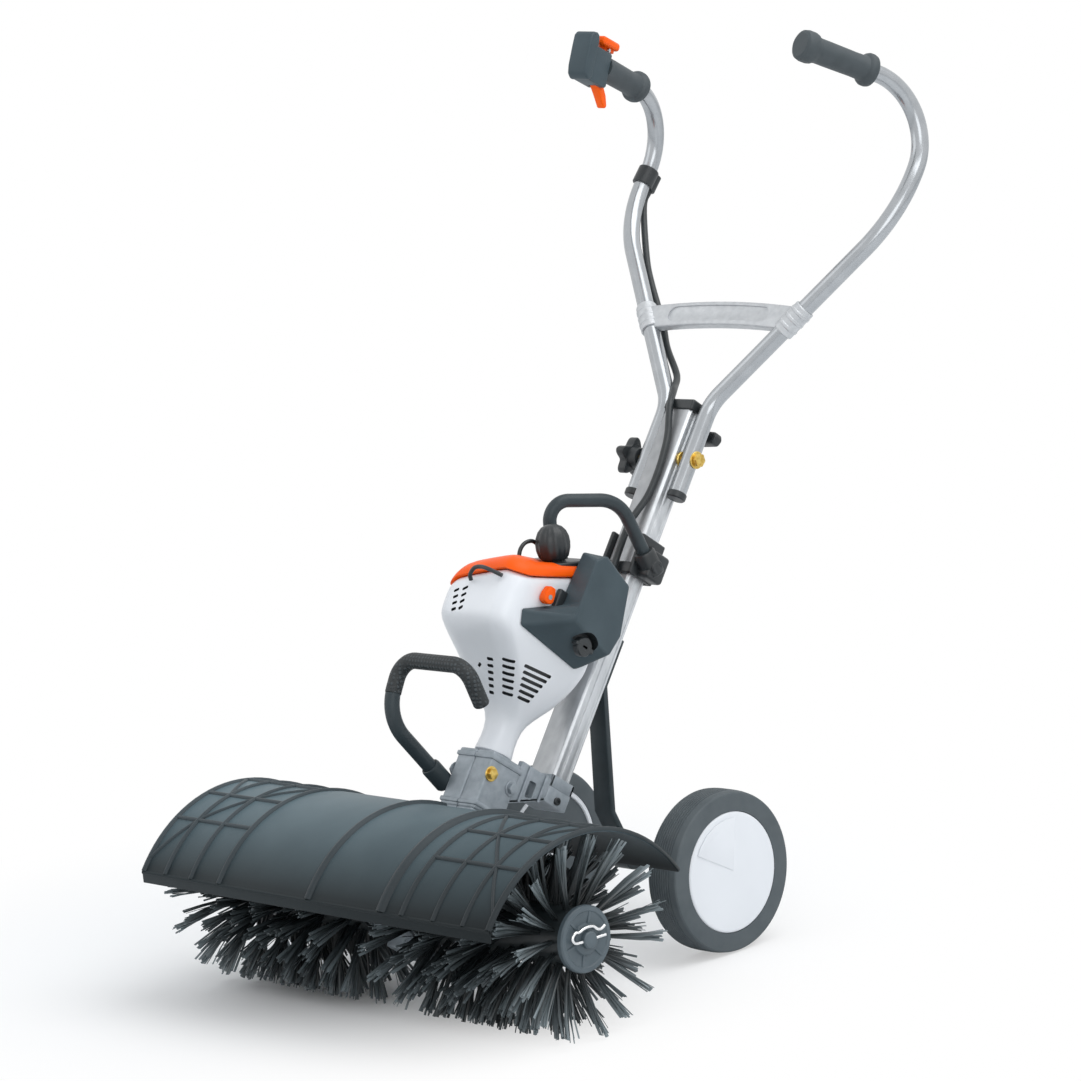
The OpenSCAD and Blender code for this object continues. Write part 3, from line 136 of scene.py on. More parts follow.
def add_node(tree, kind, out, inputs=None, **settings):
    """Adds a shader node and returns one of its outputs."""
    node = tree.nodes.new(kind)
    for key, value in settings.items():
        setattr(node, key, value)
    return feed(tree, node, inputs or {}).outputs[out]


def ranged(tree, value, low, high, least=0.0, most=1.0, **settings):
    """Carries a value from one span to another."""
    spans = {"Value": value, "From Min": low, "From Max": high, "To Min": least, "To Max": most}
    return add_node(tree, "ShaderNodeMapRange", "Result", spans, **settings)


def shaded(material, inputs):
    feed(material.node_tree, material.node_tree.nodes["Principled BSDF"], inputs)
    return material


def mixed(tree, share, first, second, end):
    """Mixes two shaders into the output of a material or the world."""
    mix = add_node(tree, "ShaderNodeMixShader", "Shader", {"Fac": share, 1: first, 2: second})
    feed(tree, tree.nodes[end], {"Surface": mix})


def finish(name, dark, light, rough, metal=0.0, grain=40, bump=0.1, pits=700, stretch=(1, 1, 1), turn=(0, 0, 0),
           coat=0.0, shine=0.5):
    """Two tones in soft clouds, with fine pits in the gloss and the surface."""
    material = bpy.data.materials.new(name)
    material.use_nodes = True
    tree = material.node_tree
    place = add_node(tree, "ShaderNodeTexCoord", "Object")
    laid = add_node(tree, "ShaderNodeMapping", "Vector", {"Rotation": turn, "Scale": stretch, "Vector": place})
    cloud = add_node(tree, "ShaderNodeTexNoise", "Fac", {"Scale": grain, "Detail": 5, "Vector": laid})
    tint = add_node(tree, "ShaderNodeValToRGB", "Color", {"Fac": cloud})
    for element, position, tone in zip(tint.node.color_ramp.elements, (0.3, 0.7), (dark, light)):
        element.position = position
        element.color = (*tone, 1)
    speck = add_node(tree, "ShaderNodeTexNoise", "Fac", {"Scale": pits, "Detail": 2, "Vector": laid})
    rise = add_node(tree, "ShaderNodeBump", "Normal", {"Strength": bump, "Distance": 0.0006, "Height": speck})
    return shaded(material, {
        "Base Color": tint, "Roughness": ranged(tree, speck, 0, 1, *rough), "Normal": rise, "Metallic": metal,
        "Coat Weight": coat, "Coat Roughness": 0.15, "Specular IOR Level": shine})


def dotted(material, size, depth, shade):
    """Small raised studs, with painted shade in the darker gaps between them."""
    tree = material.node_tree
    place = tree.nodes["Texture Coordinate"].outputs["Object"]
    tint, pitted = tree.nodes["Color Ramp"].outputs["Color"], tree.nodes["Bump"].outputs["Normal"]
    cells = add_node(tree, "ShaderNodeTexVoronoi", "Distance", {"Scale": size, "Randomness": 0.15, "Vector": place})
    dots = ranged(tree, cells, 0.22, 0.5)
    blend = add_node(tree, "ShaderNodeMix", "Result", {"A": tint, "B": (*shade, 1), "Factor": dots}, data_type="RGBA")
    studs = add_node(tree, "ShaderNodeBump", "Normal", {
        "Strength": depth, "Distance": 0.0012, "Height": dots, "Normal": pitted}, invert=True)
    return shaded(material, {"Base Color": blend, "Normal": studs})


def painted_shading(material, low, high, least, span=(-0.3, 0.3), ends=(1.15, 0.62)):
    """Painted shade: darker low down, from one height to another, and painted lighter and darker across the machine,
    from one X to another.
    """
    tree = material.node_tree
    tint = tree.nodes["Color Ramp"].outputs["Color"]
    place = tree.nodes["Texture Coordinate"].outputs["Object"]
    across = add_node(tree, "ShaderNodeSeparateXYZ", "X", {"Vector": place})
    shares = {0: ranged(tree, across.node.outputs["Z"], low, high, least), 1: ranged(tree, across, *span, *ends)}
    both = add_node(tree, "ShaderNodeMath", "Value", shares, operation="MULTIPLY")
    # The finish's tint, scaled by the painted shade.
    shaded_tint = add_node(tree, "ShaderNodeVectorMath", "Vector", {0: tint, "Scale": both}, operation="SCALE")
    return shaded(material, {"Base Color": shaded_tint})


def strand_toned_and_lit(material, light):
    """Takes its colour from the strands' tone, which holds a random part and painted light."""
    tree = material.node_tree
    tone = add_node(tree, "ShaderNodeAttribute", "Fac", attribute_name="strand_tone_and_light")
    dull, bright = feed(tree, tree.nodes["Color Ramp"], {"Fac": tone}).color_ramp.elements
    dull.position, bright.position = 0.1, 0.9
    # The light colour is the painted highlight of the lit strands.
    bright.color = (*light, 1)
    return material


# The column's finish has painted shade by X: darker on its front and far side, lighter on its near side. Its height
# part stays even.
drawn_alloy = painted_shading(
    finish("drawn_alloy", (0.46, 0.48, 0.50), (0.58, 0.60, 0.62), (0.30, 0.42), metal=0.6, grain=90, bump=0.05,
        pits=900, stretch=(1, 1, 0.03), turn=(LEAN, 0, 0)), 0, 1, 1, (0.010, 0.022), (0.68, 1.12))
tube_alloy = finish(
    "tube_alloy", (0.37, 0.39, 0.41), (0.42, 0.44, 0.46), (0.20, 0.24), metal=0.75, grain=50, bump=0.0, pits=300)
cast_bright = finish(
    "cast_bright", (0.46, 0.48, 0.50), (0.55, 0.57, 0.59), (0.34, 0.5), metal=0.5, grain=120, bump=0.22, pits=1400)
cast_grey = finish(
    "cast_grey", (0.25, 0.29, 0.32), (0.34, 0.38, 0.42), (0.4, 0.55), metal=0.35, grain=90, bump=0.25, pits=1300)
zinc_yellow = finish(
    "zinc_yellow", (0.50, 0.31, 0.05), (0.78, 0.58, 0.18), (0.22, 0.4), metal=0.8, grain=160, bump=0.08)
turned_steel = finish(
    "turned_steel", (0.48, 0.50, 0.52), (0.66, 0.68, 0.70), (0.2, 0.34), metal=1.0, grain=110, bump=0.04,
    stretch=(1, 6, 6))
bright_wire = finish(
    "bright_wire", (0.74, 0.75, 0.76), (0.88, 0.89, 0.90), (0.16, 0.26), metal=0.9, grain=100, bump=0.03)
bronze = finish("bronze", (0.42, 0.26, 0.09), (0.56, 0.38, 0.15), (0.28, 0.4), metal=1.0, grain=120)
# Painted shade on the hood: darker low down and toward the near end, lighter toward the far end.
hood_plastic = painted_shading(
    finish("hood_plastic", (0.094, 0.138, 0.160), (0.116, 0.167, 0.191), (0.42, 0.54), grain=14, bump=0.12, pits=1500,
        shine=0.15), 0.172, 0.246, 0.14)
# The ribs are a darker copy of the hood's plastic with the same gradient: painted shade on the ribs.
rib_plastic_painted_shade = painted_shading(
    finish("rib_plastic_painted_shade", (0.040, 0.054, 0.062), (0.054, 0.070, 0.080), (0.42, 0.54), grain=14, bump=0.12, pits=1500,
        shine=0.22), 0.16, 0.245, 0.5)
dark_plastic = finish(
    "dark_plastic", (0.042, 0.062, 0.074), (0.056, 0.080, 0.094), (0.38, 0.5), grain=22, bump=0.14, pits=1600,
    shine=0.25)
black_plastic = finish(
    "black_plastic", (0.012, 0.015, 0.017), (0.020, 0.025, 0.028), (0.32, 0.46), bump=0.12, pits=1500)
white_plastic = finish(
    "white_plastic", (0.70, 0.73, 0.77), (0.74, 0.77, 0.81), (0.26, 0.34), grain=9, bump=0.03, pits=1200, coat=0.15)
milky_plastic = finish("milky_plastic", (0.62, 0.64, 0.64), (0.72, 0.73, 0.72), (0.3, 0.42), grain=12, bump=0.05)
orange_plastic = finish(
    "orange_plastic", (0.86, 0.092, 0.001), (0.92, 0.112, 0.002), (0.34, 0.44), grain=16, bump=0.04, shine=0.2)
dark_paint = finish(
    "dark_paint", (0.026, 0.037, 0.043), (0.036, 0.049, 0.056), (0.34, 0.46), grain=30, bump=0.16, pits=1800, shine=0.3)
grip_rubber = finish(
    "grip_rubber", (0.038, 0.050, 0.057), (0.050, 0.064, 0.072), (0.5, 0.66), grain=60, bump=0.3, pits=1100)
# The grip's studs have painted shade in the gaps between them.
stud_rubber = dotted(
    finish("stud_rubber", (0.034, 0.044, 0.050), (0.048, 0.060, 0.067), (0.5, 0.64), grain=60, bump=0.2, pits=1100),
    190, 0.8, (0.012, 0.016, 0.018))
cable_skin = finish("cable_skin", (0.014, 0.018, 0.020), (0.024, 0.030, 0.033), (0.34, 0.48), grain=80, bump=0.06)
rope_braid = finish("rope_braid", (0.012, 0.012, 0.013), (0.05, 0.05, 0.05), (0.7, 0.9), grain=900, bump=0.5, pits=1800)
tyre_rubber = finish(
    "tyre_rubber", (0.060, 0.076, 0.086), (0.082, 0.100, 0.110), (0.55, 0.72), grain=30, bump=0.2, pits=1300)
disc_plastic = finish("disc_plastic", (0.060, 0.084, 0.100), (0.085, 0.112, 0.130), (0.4, 0.55), grain=45, bump=0.15)
# The bristles' lighter colour is painted light on the outer tufts and toward the tips.
strand_plastic = strand_toned_and_lit(
    finish("bristle", (0.015, 0.020, 0.022), (0.05, 0.058, 0.062), (0.30, 0.44), grain=25, pits=900),
    (0.22, 0.265, 0.285))


# Modelling steps shared by the pieces
def clear():
    if bpy.context.object and bpy.context.object.mode != "OBJECT":
        bpy.ops.object.mode_set(mode="OBJECT")
    bpy.ops.object.select_all(action="DESELECT")


def pick(piece):
    clear()
    piece.select_set(True)
    bpy.context.view_layer.objects.active = piece
    return piece


def edit():
    bpy.ops.object.mode_set(mode="EDIT")
    bpy.ops.mesh.select_all(action="SELECT")


def done():
    bpy.ops.mesh.select_all(action="SELECT")
    bpy.ops.mesh.normals_make_consistent(inside=False)
    bpy.ops.object.mode_set(mode="OBJECT")


def named(name, material):
    piece = bpy.context.object
    piece.name = name
    piece.data.name = name
    piece.data.materials.clear()
    piece.data.materials.append(material)
    return piece


def apply(piece, kind, **settings):
    pick(piece)
    step = piece.modifiers.new("step", kind)
    for key, value in settings.items():
        setattr(step, key, value)
    bpy.ops.object.modifier_apply(modifier=step.name)
    return piece


def smooth(piece, angle=38):
    pick(piece)
    bpy.ops.object.shade_smooth_by_angle(angle=radians(angle))
    return piece


def merged(piece):
    """Points that fall together become one, and faces without area go."""
    pick(piece)
    edit()
    bpy.ops.mesh.remove_doubles(threshold=1e-6)
    bpy.ops.mesh.dissolve_degenerate(threshold=1e-7)
    done()
    return piece


def rounded(piece, width, segments=3, angle=32):
    apply(piece, "BEVEL", width=width * MM, segments=segments, limit_method="ANGLE", angle_limit=radians(angle),
          use_clamp_overlap=True)
    return smooth(piece)


def ringed(name, material, points, fill):
    """A flat loop through the points."""
    clear()
    bpy.ops.mesh.primitive_circle_add(vertices=len(points), radius=0.01, fill_type=fill)
    piece = named(name, material)
    for corner, point in zip(piece.data.vertices, points):
        corner.co = point
    edit()
    return piece


def slab(name, material, points, step, edge=1.0, segments=3):
    """A closed outline, filled and drawn out along a step, with softened edges."""
    piece = ringed(name, material, points, "NGON")
    bpy.ops.mesh.extrude_region_move(TRANSFORM_OT_translate={"value": step})
    done()
    return rounded(piece, edge, segments) if edge else smooth(piece)


def turned(name, material, base, axis, profile, steps=56, angle=30):
    """A profile of radius and height, spun round an axis."""
    axis = axis.normalized()
    arm = axis.cross(UP if abs(axis.z) < 0.9 else ACROSS).normalized()
    piece = ringed(name, material, [base + arm * r * MM + axis * h * MM for r, h in profile], "NOTHING")
    bpy.ops.mesh.spin(steps=steps, angle=tau, center=base, axis=axis)
    bpy.ops.object.mode_set(mode="OBJECT")
    return smooth(merged(piece), angle)


def pin(name, material, base, axis, radius, length, steps=20):
    return turned(name, material, base, axis, [(0, 0), (radius, 0), (radius, length), (0, length)], steps)


def washer(material, base, axis, radius):
    return turned("washer", material, base, axis, [(0, 0), (radius, 0), (radius, 1), (radius - 0.6, 1.4), (0, 1.4)], 28)


def hexagon(base, axis, radius, height, material):
    arm = axis.normalized().orthogonal().normalized()
    other = axis.normalized().cross(arm)
    ring = [base + (arm * cos(a) + other * sin(a)) * radius * MM for a in turns(6)]
    return slab("nut", material, ring, axis.normalized() * height * MM, 0.6, 2)


def arms(name, material, base, step, count, start, ends, half, edge):
    """Straight arms from one radius to another round an axis across the machine."""
    parts = []
    for a in turns(count):
        out, flat = spoke(a + start)
        foot = [base + (out * ends[r] + flat * w) * MM for r, w in ((0, -half), (1, -half), (1, half), (0, half))]
        parts.append(slab(name, material, foot, step, edge, 2))
    return parts


def lofted(name, material, rings, level=0, angle=180):
    """Rings of points skinned into a closed form."""
    first = sum(rings[0], Vector()) / len(rings[0])
    last = sum(rings[-1], Vector()) / len(rings[-1])
    rings = [[first] * len(rings[0])] + rings + [[last] * len(rings[0])]
    clear()
    bpy.ops.mesh.primitive_grid_add(x_subdivisions=len(rings[0]), y_subdivisions=len(rings) - 1, size=0.01)
    piece = named(name, material)
    spots = [point for ring in rings for point in ring + ring[:1]]
    for corner, point in zip(piece.data.vertices, spots):
        corner.co = point
    merged(piece)
    if level:
        apply(piece, "SUBSURF", levels=level, render_levels=level)
    return smooth(piece, angle)


def bent(points, radii, steps):
    """A path with its corners turned into arcs."""
    path = [points[0]]
    for before, corner, after, radius in zip(points, points[1:], points[2:], radii):
        a, b = (before - corner).normalized(), (after - corner).normalized()
        half = a.angle(b) / 2
        cut = radius * MM / tan(half)
        middle = corner + (a + b).normalized() * radius * MM / sin(half)
        start, stop = corner + a * cut - middle, corner + b * cut - middle
        spin = start.angle(stop)
        for k in range(steps + 1):
            t = k / steps
            path.append(middle + (start * sin((1 - t) * spin) + stop * sin(t * spin)) / sin(spin))
    return path + [points[-1]]


def flowing(points, steps=6):
    """A smooth curve through its points."""
    path = []
    last = len(points) - 1
    for i in range(last):
        a, b, c, d = points[max(i - 1, 0)], points[i], points[i + 1], points[min(i + 2, last)]
        for k in range(steps):
            t = k / steps
            square, cube = a * 2 - b * 5 + c * 4 - d, b * 3 - a - c * 3 + d
            path.append((b * 2 + (c - a) * t + square * t * t + cube * t ** 3) / 2)
    return path + [points[-1]]


def rod(name, material, path, radius, sides=20):
    """A round bar swept along a path, its ends closed."""
    rings = []
    side = None
    for i, point in enumerate(path):
        ahead = (path[min(i + 1, len(path) - 1)] - path[max(i - 1, 0)]).normalized()
        side = (side - ahead * side.dot(ahead)).normalized() if side else ahead.orthogonal().normalized()
        lift = ahead.cross(side)
        rings.append([point + (side * cos(a) + lift * sin(a)) * radius * MM for a in turns(sides)])
    return lofted(name, material, rings, angle=50)


def block(name, material, corner, size, edge=1.5, segments=3, place=driven):
    """A box drawn from its floor, in the axes of a place."""
    x, y, z = corner
    w, d, h = size
    floor = [place(x, y, z), place(x + w, y, z), place(x + w, y + d, z), place(x, y + d, z)]
    return slab(name, material, floor, place(x, y, z + h) - place(x, y, z), edge, segments)


def joined(parts):
    clear()
    for part in parts:
        part.select_set(True)
    bpy.context.view_layer.objects.active = parts[0]
    if len(parts) > 1:
        bpy.ops.object.join()
    return parts[0]


def carved(piece, cutter):
    apply(piece, "BOOLEAN", operation="DIFFERENCE", solver="EXACT", material_mode="TRANSFER", object=cutter)
    bpy.data.objects.remove(cutter)
    return smooth(piece, 30)


def fitted(parts, node, body="chassis", name=None):
    """Joins parts into one piece, which rides on a body in the place of one node's solid."""
    piece = joined(parts)
    piece.name = piece.data.name = name or node + "_form"
    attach(piece, body)
    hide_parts(node)


# Roller brush
BRUSH = spot(0, 0, 120)
ROWS, AROUND = 11, 15
FIRST_X, LAST_X, END_X = 46.0, 298.0, 324.5


def strands(side, seed):
    """Flat strands in tufts round the core; the outer tufts splay to the ends. Their tone holds a random part and
    painted light: lighter on the outer tufts and toward the tips.
    """
    chance = random.Random(seed)
    corners, faces, tones = [], [], []
    for row in range(ROWS):
        u = 2 * (row + 0.5) / ROWS - 1
        outer = abs(u) ** 3
        lean = copysign((20 if u < 0 else 33) * abs(u) ** 1.9, u)
        for tuft in range(AROUND):
            turn = tau * (tuft + 0.37 * (row % 3)) / AROUND + chance.uniform(-0.06, 0.06)
            tuft_lean = lean + chance.uniform(-4, 4)
            # The tuft's tone: a small random part, and painted light that makes the outer tufts lighter.
            shade = chance.uniform(0.0, 0.1) + (0.62 if u > 0 else 0.4) * outer
            for _ in range(round(16 - 6 * outer)):
                fan = chance.gauss(0, 0.06 - 0.03 * outer)
                spread = chance.gauss(0, 3.4)
                x0 = FIRST_X + (row + 0.5) * (LAST_X - FIRST_X) / ROWS + chance.uniform(-4, 4)
                tip = chance.uniform(111.0, 119.6)
                reach = [(33.0, 0.0), (62.0, 0.28), (92.0, 0.65), (tip, 1.0)]
                width, thick = chance.uniform(1.1, 2.2), chance.uniform(0.4, 0.6)
                tone = min(0.8, max(0.0, shade + chance.uniform(-0.12, 0.28)))
                twist = chance.uniform(0, pi)
                bow = chance.uniform(-2.5, 2.5)
                first = len(corners)
                for r, t in reach:
                    out, tang = spoke(turn + fan * (0.35 + 0.65 * t) + bow * 0.01 * sin(pi * t))
                    x = min(x0 + (tuft_lean + spread) * t, END_X)
                    middle = BRUSH + (ACROSS * side * x + out * r) * MM
                    wide = (ACROSS * cos(twist) + tang * sin(twist)) * width * MM
                    slim = (tang * cos(twist) - ACROSS * sin(twist)) * thick * MM
                    corners += [middle + wide, middle + slim, middle - wide, middle - slim]
                    # Painted shade and highlight along the strand: dark at the root, lighter toward the tip.
                    tones += [tone * t + 0.2 * t * t] * 4
                last = first + 4 * (len(reach) - 1)
                for ring in range(first, last, 4):
                    for c in range(4):
                        low, nxt = ring + c, ring + (c + 1) % 4
                        faces.append((low, nxt, nxt + 4, low + 4))
                faces += [(first + 3, first + 2, first + 1, first), (last, last + 1, last + 2, last + 3)]
    mesh = bpy.data.meshes.new("strands")
    mesh.from_pydata(corners, [], faces)
    piece = bpy.data.objects.new("strands", mesh)
    bpy.context.scene.collection.objects.link(piece)
    mesh.materials.append(strand_plastic)
    mesh.attributes.new("strand_tone_and_light", "FLOAT", "POINT").data.foreach_set("value", tones)
    pick(piece)
    edit()
    done()
    sleeve = turned("sleeve", strand_plastic, BRUSH, ACROSS * side, [
        (29.4, 44), (34, 44), (35, 46), (35, 297), (34, 299.5), (29.4, 299.5)])
    plain_tones = [0.0] * len(sleeve.data.vertices)
    sleeve.data.attributes.new("strand_tone_and_light", "FLOAT", "POINT").data.foreach_set("value", plain_tones)
    return joined([piece, sleeve])


def brush():
    for (side, word), seed in zip(SIDES, (11, 23)):
        fitted([strands(side, seed)], "bristles_" + word, "brush", "bristle_tufts_" + word)
        core = turned("core", disc_plastic, BRUSH, ACROSS * side, [
            (10.1, 44), (27, 44), (29, 46), (29, 300), (37.5, 300), (39, 301.5), (39, 307), (37.6, 309), (33, 309.4),
            (31.5, 308), (19, 307.2), (17.5, 309.6), (15.5, 310.2), (10.1, 310.2)])
        out = ACROSS * side
        spokes = arms("spoke", disc_plastic, BRUSH + out * 0.3066, out * 0.0022, 6, 0.3, (17, 33), 1.5, 0.5)
        fitted([core] + spokes, "brush_core_" + word, "brush", "brush_end_" + word)
    clip_x, clip_size = 313, 20
    shares = ((1.3, 0), (0.4, 0), (-0.85, 0), (-1.2, 0.14), (-1.25, 0.4), (-1.0, 0.62), (-0.7, 0.6), (-0.4, 0.7),
              (0, 0.75), (0.4, 0.7), (0.7, 0.48), (1.0, 0.42), (1.3, 0.56))
    clips = []
    for side, _ in SIDES:
        wire = [BRUSH + Vector((side * clip_x, y * clip_size, z * clip_size)) * MM for y, z in shares]
        clips.append(rod("clip", bright_wire, flowing(wire, 5), 1.9, 10))
    fitted(clips, "r_clips", "brush", name="spring_clips")
    shaft = turned("shaft", disc_plastic, BRUSH, ACROSS, [
        (0, -317), (8.6, -317), (10, -315.6), (10, 315.6), (8.6, 317), (0, 317)])
    fitted([shaft], "output_shaft", "brush", "brush_shaft_form")


# Hood: a shell round a line across the machine, open below its rim
HOOD_R, HOOD_Z, HOOD_WALL, HOOD_RIM, HOOD_HALF = 182, 62.5, 3, 165, 315
HOOD_ACROSS = ACROSS * 2 * HOOD_HALF * MM
FIELD_X = (312, 270, 220, 166)
FIELD_A = (29.5, 12, -8)


def on_hood(x, angle, lift=0.0):
    a = radians(angle)
    r = HOOD_R + lift
    return spot(x, -r * sin(a), HOOD_Z + r * cos(a))


def hood_rib(a, b, steps, width, rise):
    """A rib from one place on the hood to another, each given by its X and its angle."""
    path = [(a[0] + (b[0] - a[0]) * k / steps, a[1] + (b[1] - a[1]) * k / steps) for k in range(steps + 1)]
    rings = []
    for i, (x, angle) in enumerate(path):
        here = on_hood(x, angle)
        normal = (on_hood(x, angle, 1) - here).normalized()
        ahead = on_hood(*path[min(i + 1, steps)]) - on_hood(*path[max(i - 1, 0)])
        flat = ahead.cross(normal).normalized()
        rings.append([here + (flat * width * w + normal * h) * MM for w, h in (
            (-0.75, -1.4), (-0.62, 0.3), (-0.36, rise * 0.9), (0, rise), (0.36, rise * 0.9), (0.62, 0.3),
            (0.75, -1.4))])
    return lofted("rib", rib_plastic_painted_shade, rings, angle=60)


def hood():
    edge = degrees(acos((HOOD_RIM - HOOD_Z) / HOOD_R))
    inner = degrees(acos((HOOD_RIM - HOOD_Z) / (HOOD_R - HOOD_WALL)))
    steps = 44
    outline = [on_hood(-HOOD_HALF, edge - 2 * edge * k / steps) for k in range(steps + 1)]
    outline += [on_hood(-HOOD_HALF, -inner + 2 * inner * k / steps, -HOOD_WALL) for k in range(steps + 1)]
    shell = slab("hood_shell", hood_plastic, outline, HOOD_ACROSS, 0.8, 2)
    for corner, size in (((-31, -27, -215), (62, 54, 200)), ((-32, -28, -77), (64, 185, 260))):
        carved(shell, block("gate", hood_plastic, corner, size, 0))
    stop = edge - 0.6
    parts = [shell, hood_rib((0, stop), (0, -24), 20, 7.5, 4.2), hood_rib((0, -46), (0, -stop), 8, 7.5, 4.2),
             hood_rib((130.5, stop), (130.5, -stop), 30, 10, 6.0)]
    for side, _ in SIDES:
        for x, width, rise in zip(FIELD_X, (5.6, 4.6, 4.6, 5.6), (3.2, 3.2, 3.2, 3.4)):
            parts.append(hood_rib((side * x, stop), (side * x, -stop), 30, width, rise))
        for a in FIELD_A:
            parts.append(hood_rib((side * FIELD_X[-1], a), (side * (HOOD_HALF - 1), a), 4, 4.4, 2.9))
        for x, a, x2, a2 in ((312, 50, 270, 29.5), (270, 29.5, 220, 12), (220, 12, 166, -8), (270, 12, 312, -8)):
            parts.append(hood_rib((side * x, a), (side * x2, a2), 10, 3.6, 2.5))
    front = HOOD_R * sin(radians(edge))
    lip = [spot(-HOOD_HALF, y - front, z) for y, z in ((0.2, 152), (2.6, 152), (2.6, 166), (1.4, 168), (0.0, 166))]
    parts.append(slab("lip", hood_plastic, lip, HOOD_ACROSS, 0.7, 2))
    bead_r, bead = 2.6, []
    for a in turns(8):
        swing = degrees(bead_r * sin(a) / HOOD_R)
        bead.append(on_hood(-HOOD_HALF, edge - 0.3 + swing, -1.4 + bead_r * cos(a)))
    parts.append(slab("bead", hood_plastic, bead, HOOD_ACROSS, 0))
    fitted(parts, "brush_hood")


# Gearbox, base bracket and column. COLUMN_Q is how far the column stands behind the drive's shaft.
COLUMN_Q = 100
FRONT_HANDLE = [spot(*place) for place in (
    (-41.3, 111.99, 246.51), (-55.3, 43.99, 339.51), (-57, 78.99, 403.51), (57, 78.99, 403.51), (63, 92.99, 355.51))]


def gearbox():
    for side, word in SIDES:
        def place(x, q, s):
            return driven(side * x, q, s)
        parts = [block("neck", cast_grey, (0.2, -26, -76), (30.8, 52, 76), 3.2, 4, place),
                 block("lower", cast_grey, (0.2, -26, -261), (29.8, 52, 187), 3.0, 3, place),
                 turned("drum", cast_grey, driven(0, -40, -215), ACROSS * side, [
                     (10.1, 0.2), (35.4, 0.2), (35.4, 27), (32, 30), (15, 30), (13.5, 31.5), (10.1, 31.5)])]
        for s in (-8, -68):
            parts.append(block("band", cast_grey, (0.2, -27.6, s - 3), (32.2, 55.2, 6), 1.6, 2, place))
        out, flat = spoke(radians(36))
        foot = [spot(side * x, 0, HOOD_Z) + out * 0.1702 + flat * f * MM
                for x, f in ((24, -13), (56, -13), (56, 13), (24, 13))]
        parts.append(slab("ear", cast_grey, foot, out * 0.008, 1.2))
        if side < 0:
            leg = (FRONT_HANDLE[1] - FRONT_HANDLE[0]).normalized()
            parts.append(turned("boss", dark_paint, FRONT_HANDLE[0] - leg * 0.005, leg, [
                (0, 0), (10.6, 0), (12.4, 3), (12.4, 31), (11.6, 33.4), (10.1, 34), (10.1, 6), (0, 6)]))
        fitted(parts, "gearbox_%s_half" % word, name="gear_case_" + word)
    bolts = []
    for q, s, half, near in ((-19, -28, 31, zinc_yellow), (19, -31, 31, cast_grey), (19, -150, 30, zinc_yellow),
                             (19, -245, 30, zinc_yellow)):
        bolts.append(pin("stem", near, driven(-half, q, s), ACROSS, 4, 2 * half))
        for side, coat in ((1, near), (-1, cast_grey)):
            bolts.append(hexagon(driven(side * (half + 1.2), q, s), ACROSS * side, 7, 5, coat))
            bolts.append(washer(coat, driven(side * half, q, s), ACROSS * side, 9.4))
    fitted(bolts, "gearbox_bolts", name="case_bolts")


def bracket():
    half = 27.3
    wide = 2 * half
    parts = [block("socket_floor", cast_grey, (-half, 80.2, -22), (wide, 39.6, 22), 2.0)]
    for x, q, w, d in ((-half, 80.2, wide, 4), (-half, 115.8, wide, 4), (-half, 80.2, 4, 39.6),
                       (half - 4, 80.2, 4, 39.6)):
        parts.append(block("socket_wall", cast_grey, (x, q, -1), (w, d, 15), 1.0, 2))
    for side, _ in SIDES:
        x = side * half
        web = [driven(x, *row) for row in ((26, -48), (26, 8), (80.4, 7), (80.4, -22))]
        plate = slab("web", cast_grey, web, ACROSS * -side * 0.008, 1.4)
        slot = [driven(side * 40, q, s) for q, s in ((47, -30), (59, -30), (59, -8), (47, -8))]
        parts.append(carved(plate, slab("slot", cast_grey, slot, ACROSS * -side * 0.05, 2.5)))
        for q, s, h in ((38, -40, 46), (68, -28, 36)):
            rib = [driven(x, a, b) for a, b in ((q, s), (q + 4, s), (q + 4, s + h), (q, s + h))]
            parts.append(slab("rib", cast_grey, rib, ACROSS * side * 0.0025, 0.8, 2))
        parts.append(turned("screw", black_plastic, driven(side * 27, COLUMN_Q, -14), ACROSS * side, [
            (0, 0), (5, 0), (5, 2.4), (4.2, 3.2), (2.4, 3.2), (2.2, 1.8), (0, 1.8)], 24))
    floor = [driven(-half, q, s) for q, s in ((26, -48), (26, -43), (80.4, -17), (80.4, -22))]
    parts.append(slab("floor", cast_grey, floor, ACROSS * wide * MM))
    fitted(parts, "base_bracket")


def column():
    half = [(20, -15.5), (23, -12.5), (23, -10.3), (21, -9.6), (21, -4), (23, -3.3)]
    half += [(x, -q) for x, q in reversed(half)]
    outline = half + [(-x, q) for x, q in reversed(half)]
    piece = slab("column", drawn_alloy, [driven(x, COLUMN_Q + q, 0) for x, q in outline], SHAFT * 0.52, 0.5, 2)
    fitted([piece], "main_column", name="column_form")
    cap = [block("cap", black_plastic, (-25, 82.5, 514), (50, 35, 15), 3.4, 5),
           block("plug", black_plastic, (-18.7, 88.8, 506), (37.4, 22.4, 15), 1.0, 2)]
    fitted(cap, "column_cap")


# Axle strut and wheels
AXLE_Y, AXLE_Z = 365, 100
STRUT_Q, STRUT_WALL, STRUT_S, STRUT_LEN = 115.5, 9, 150, 62


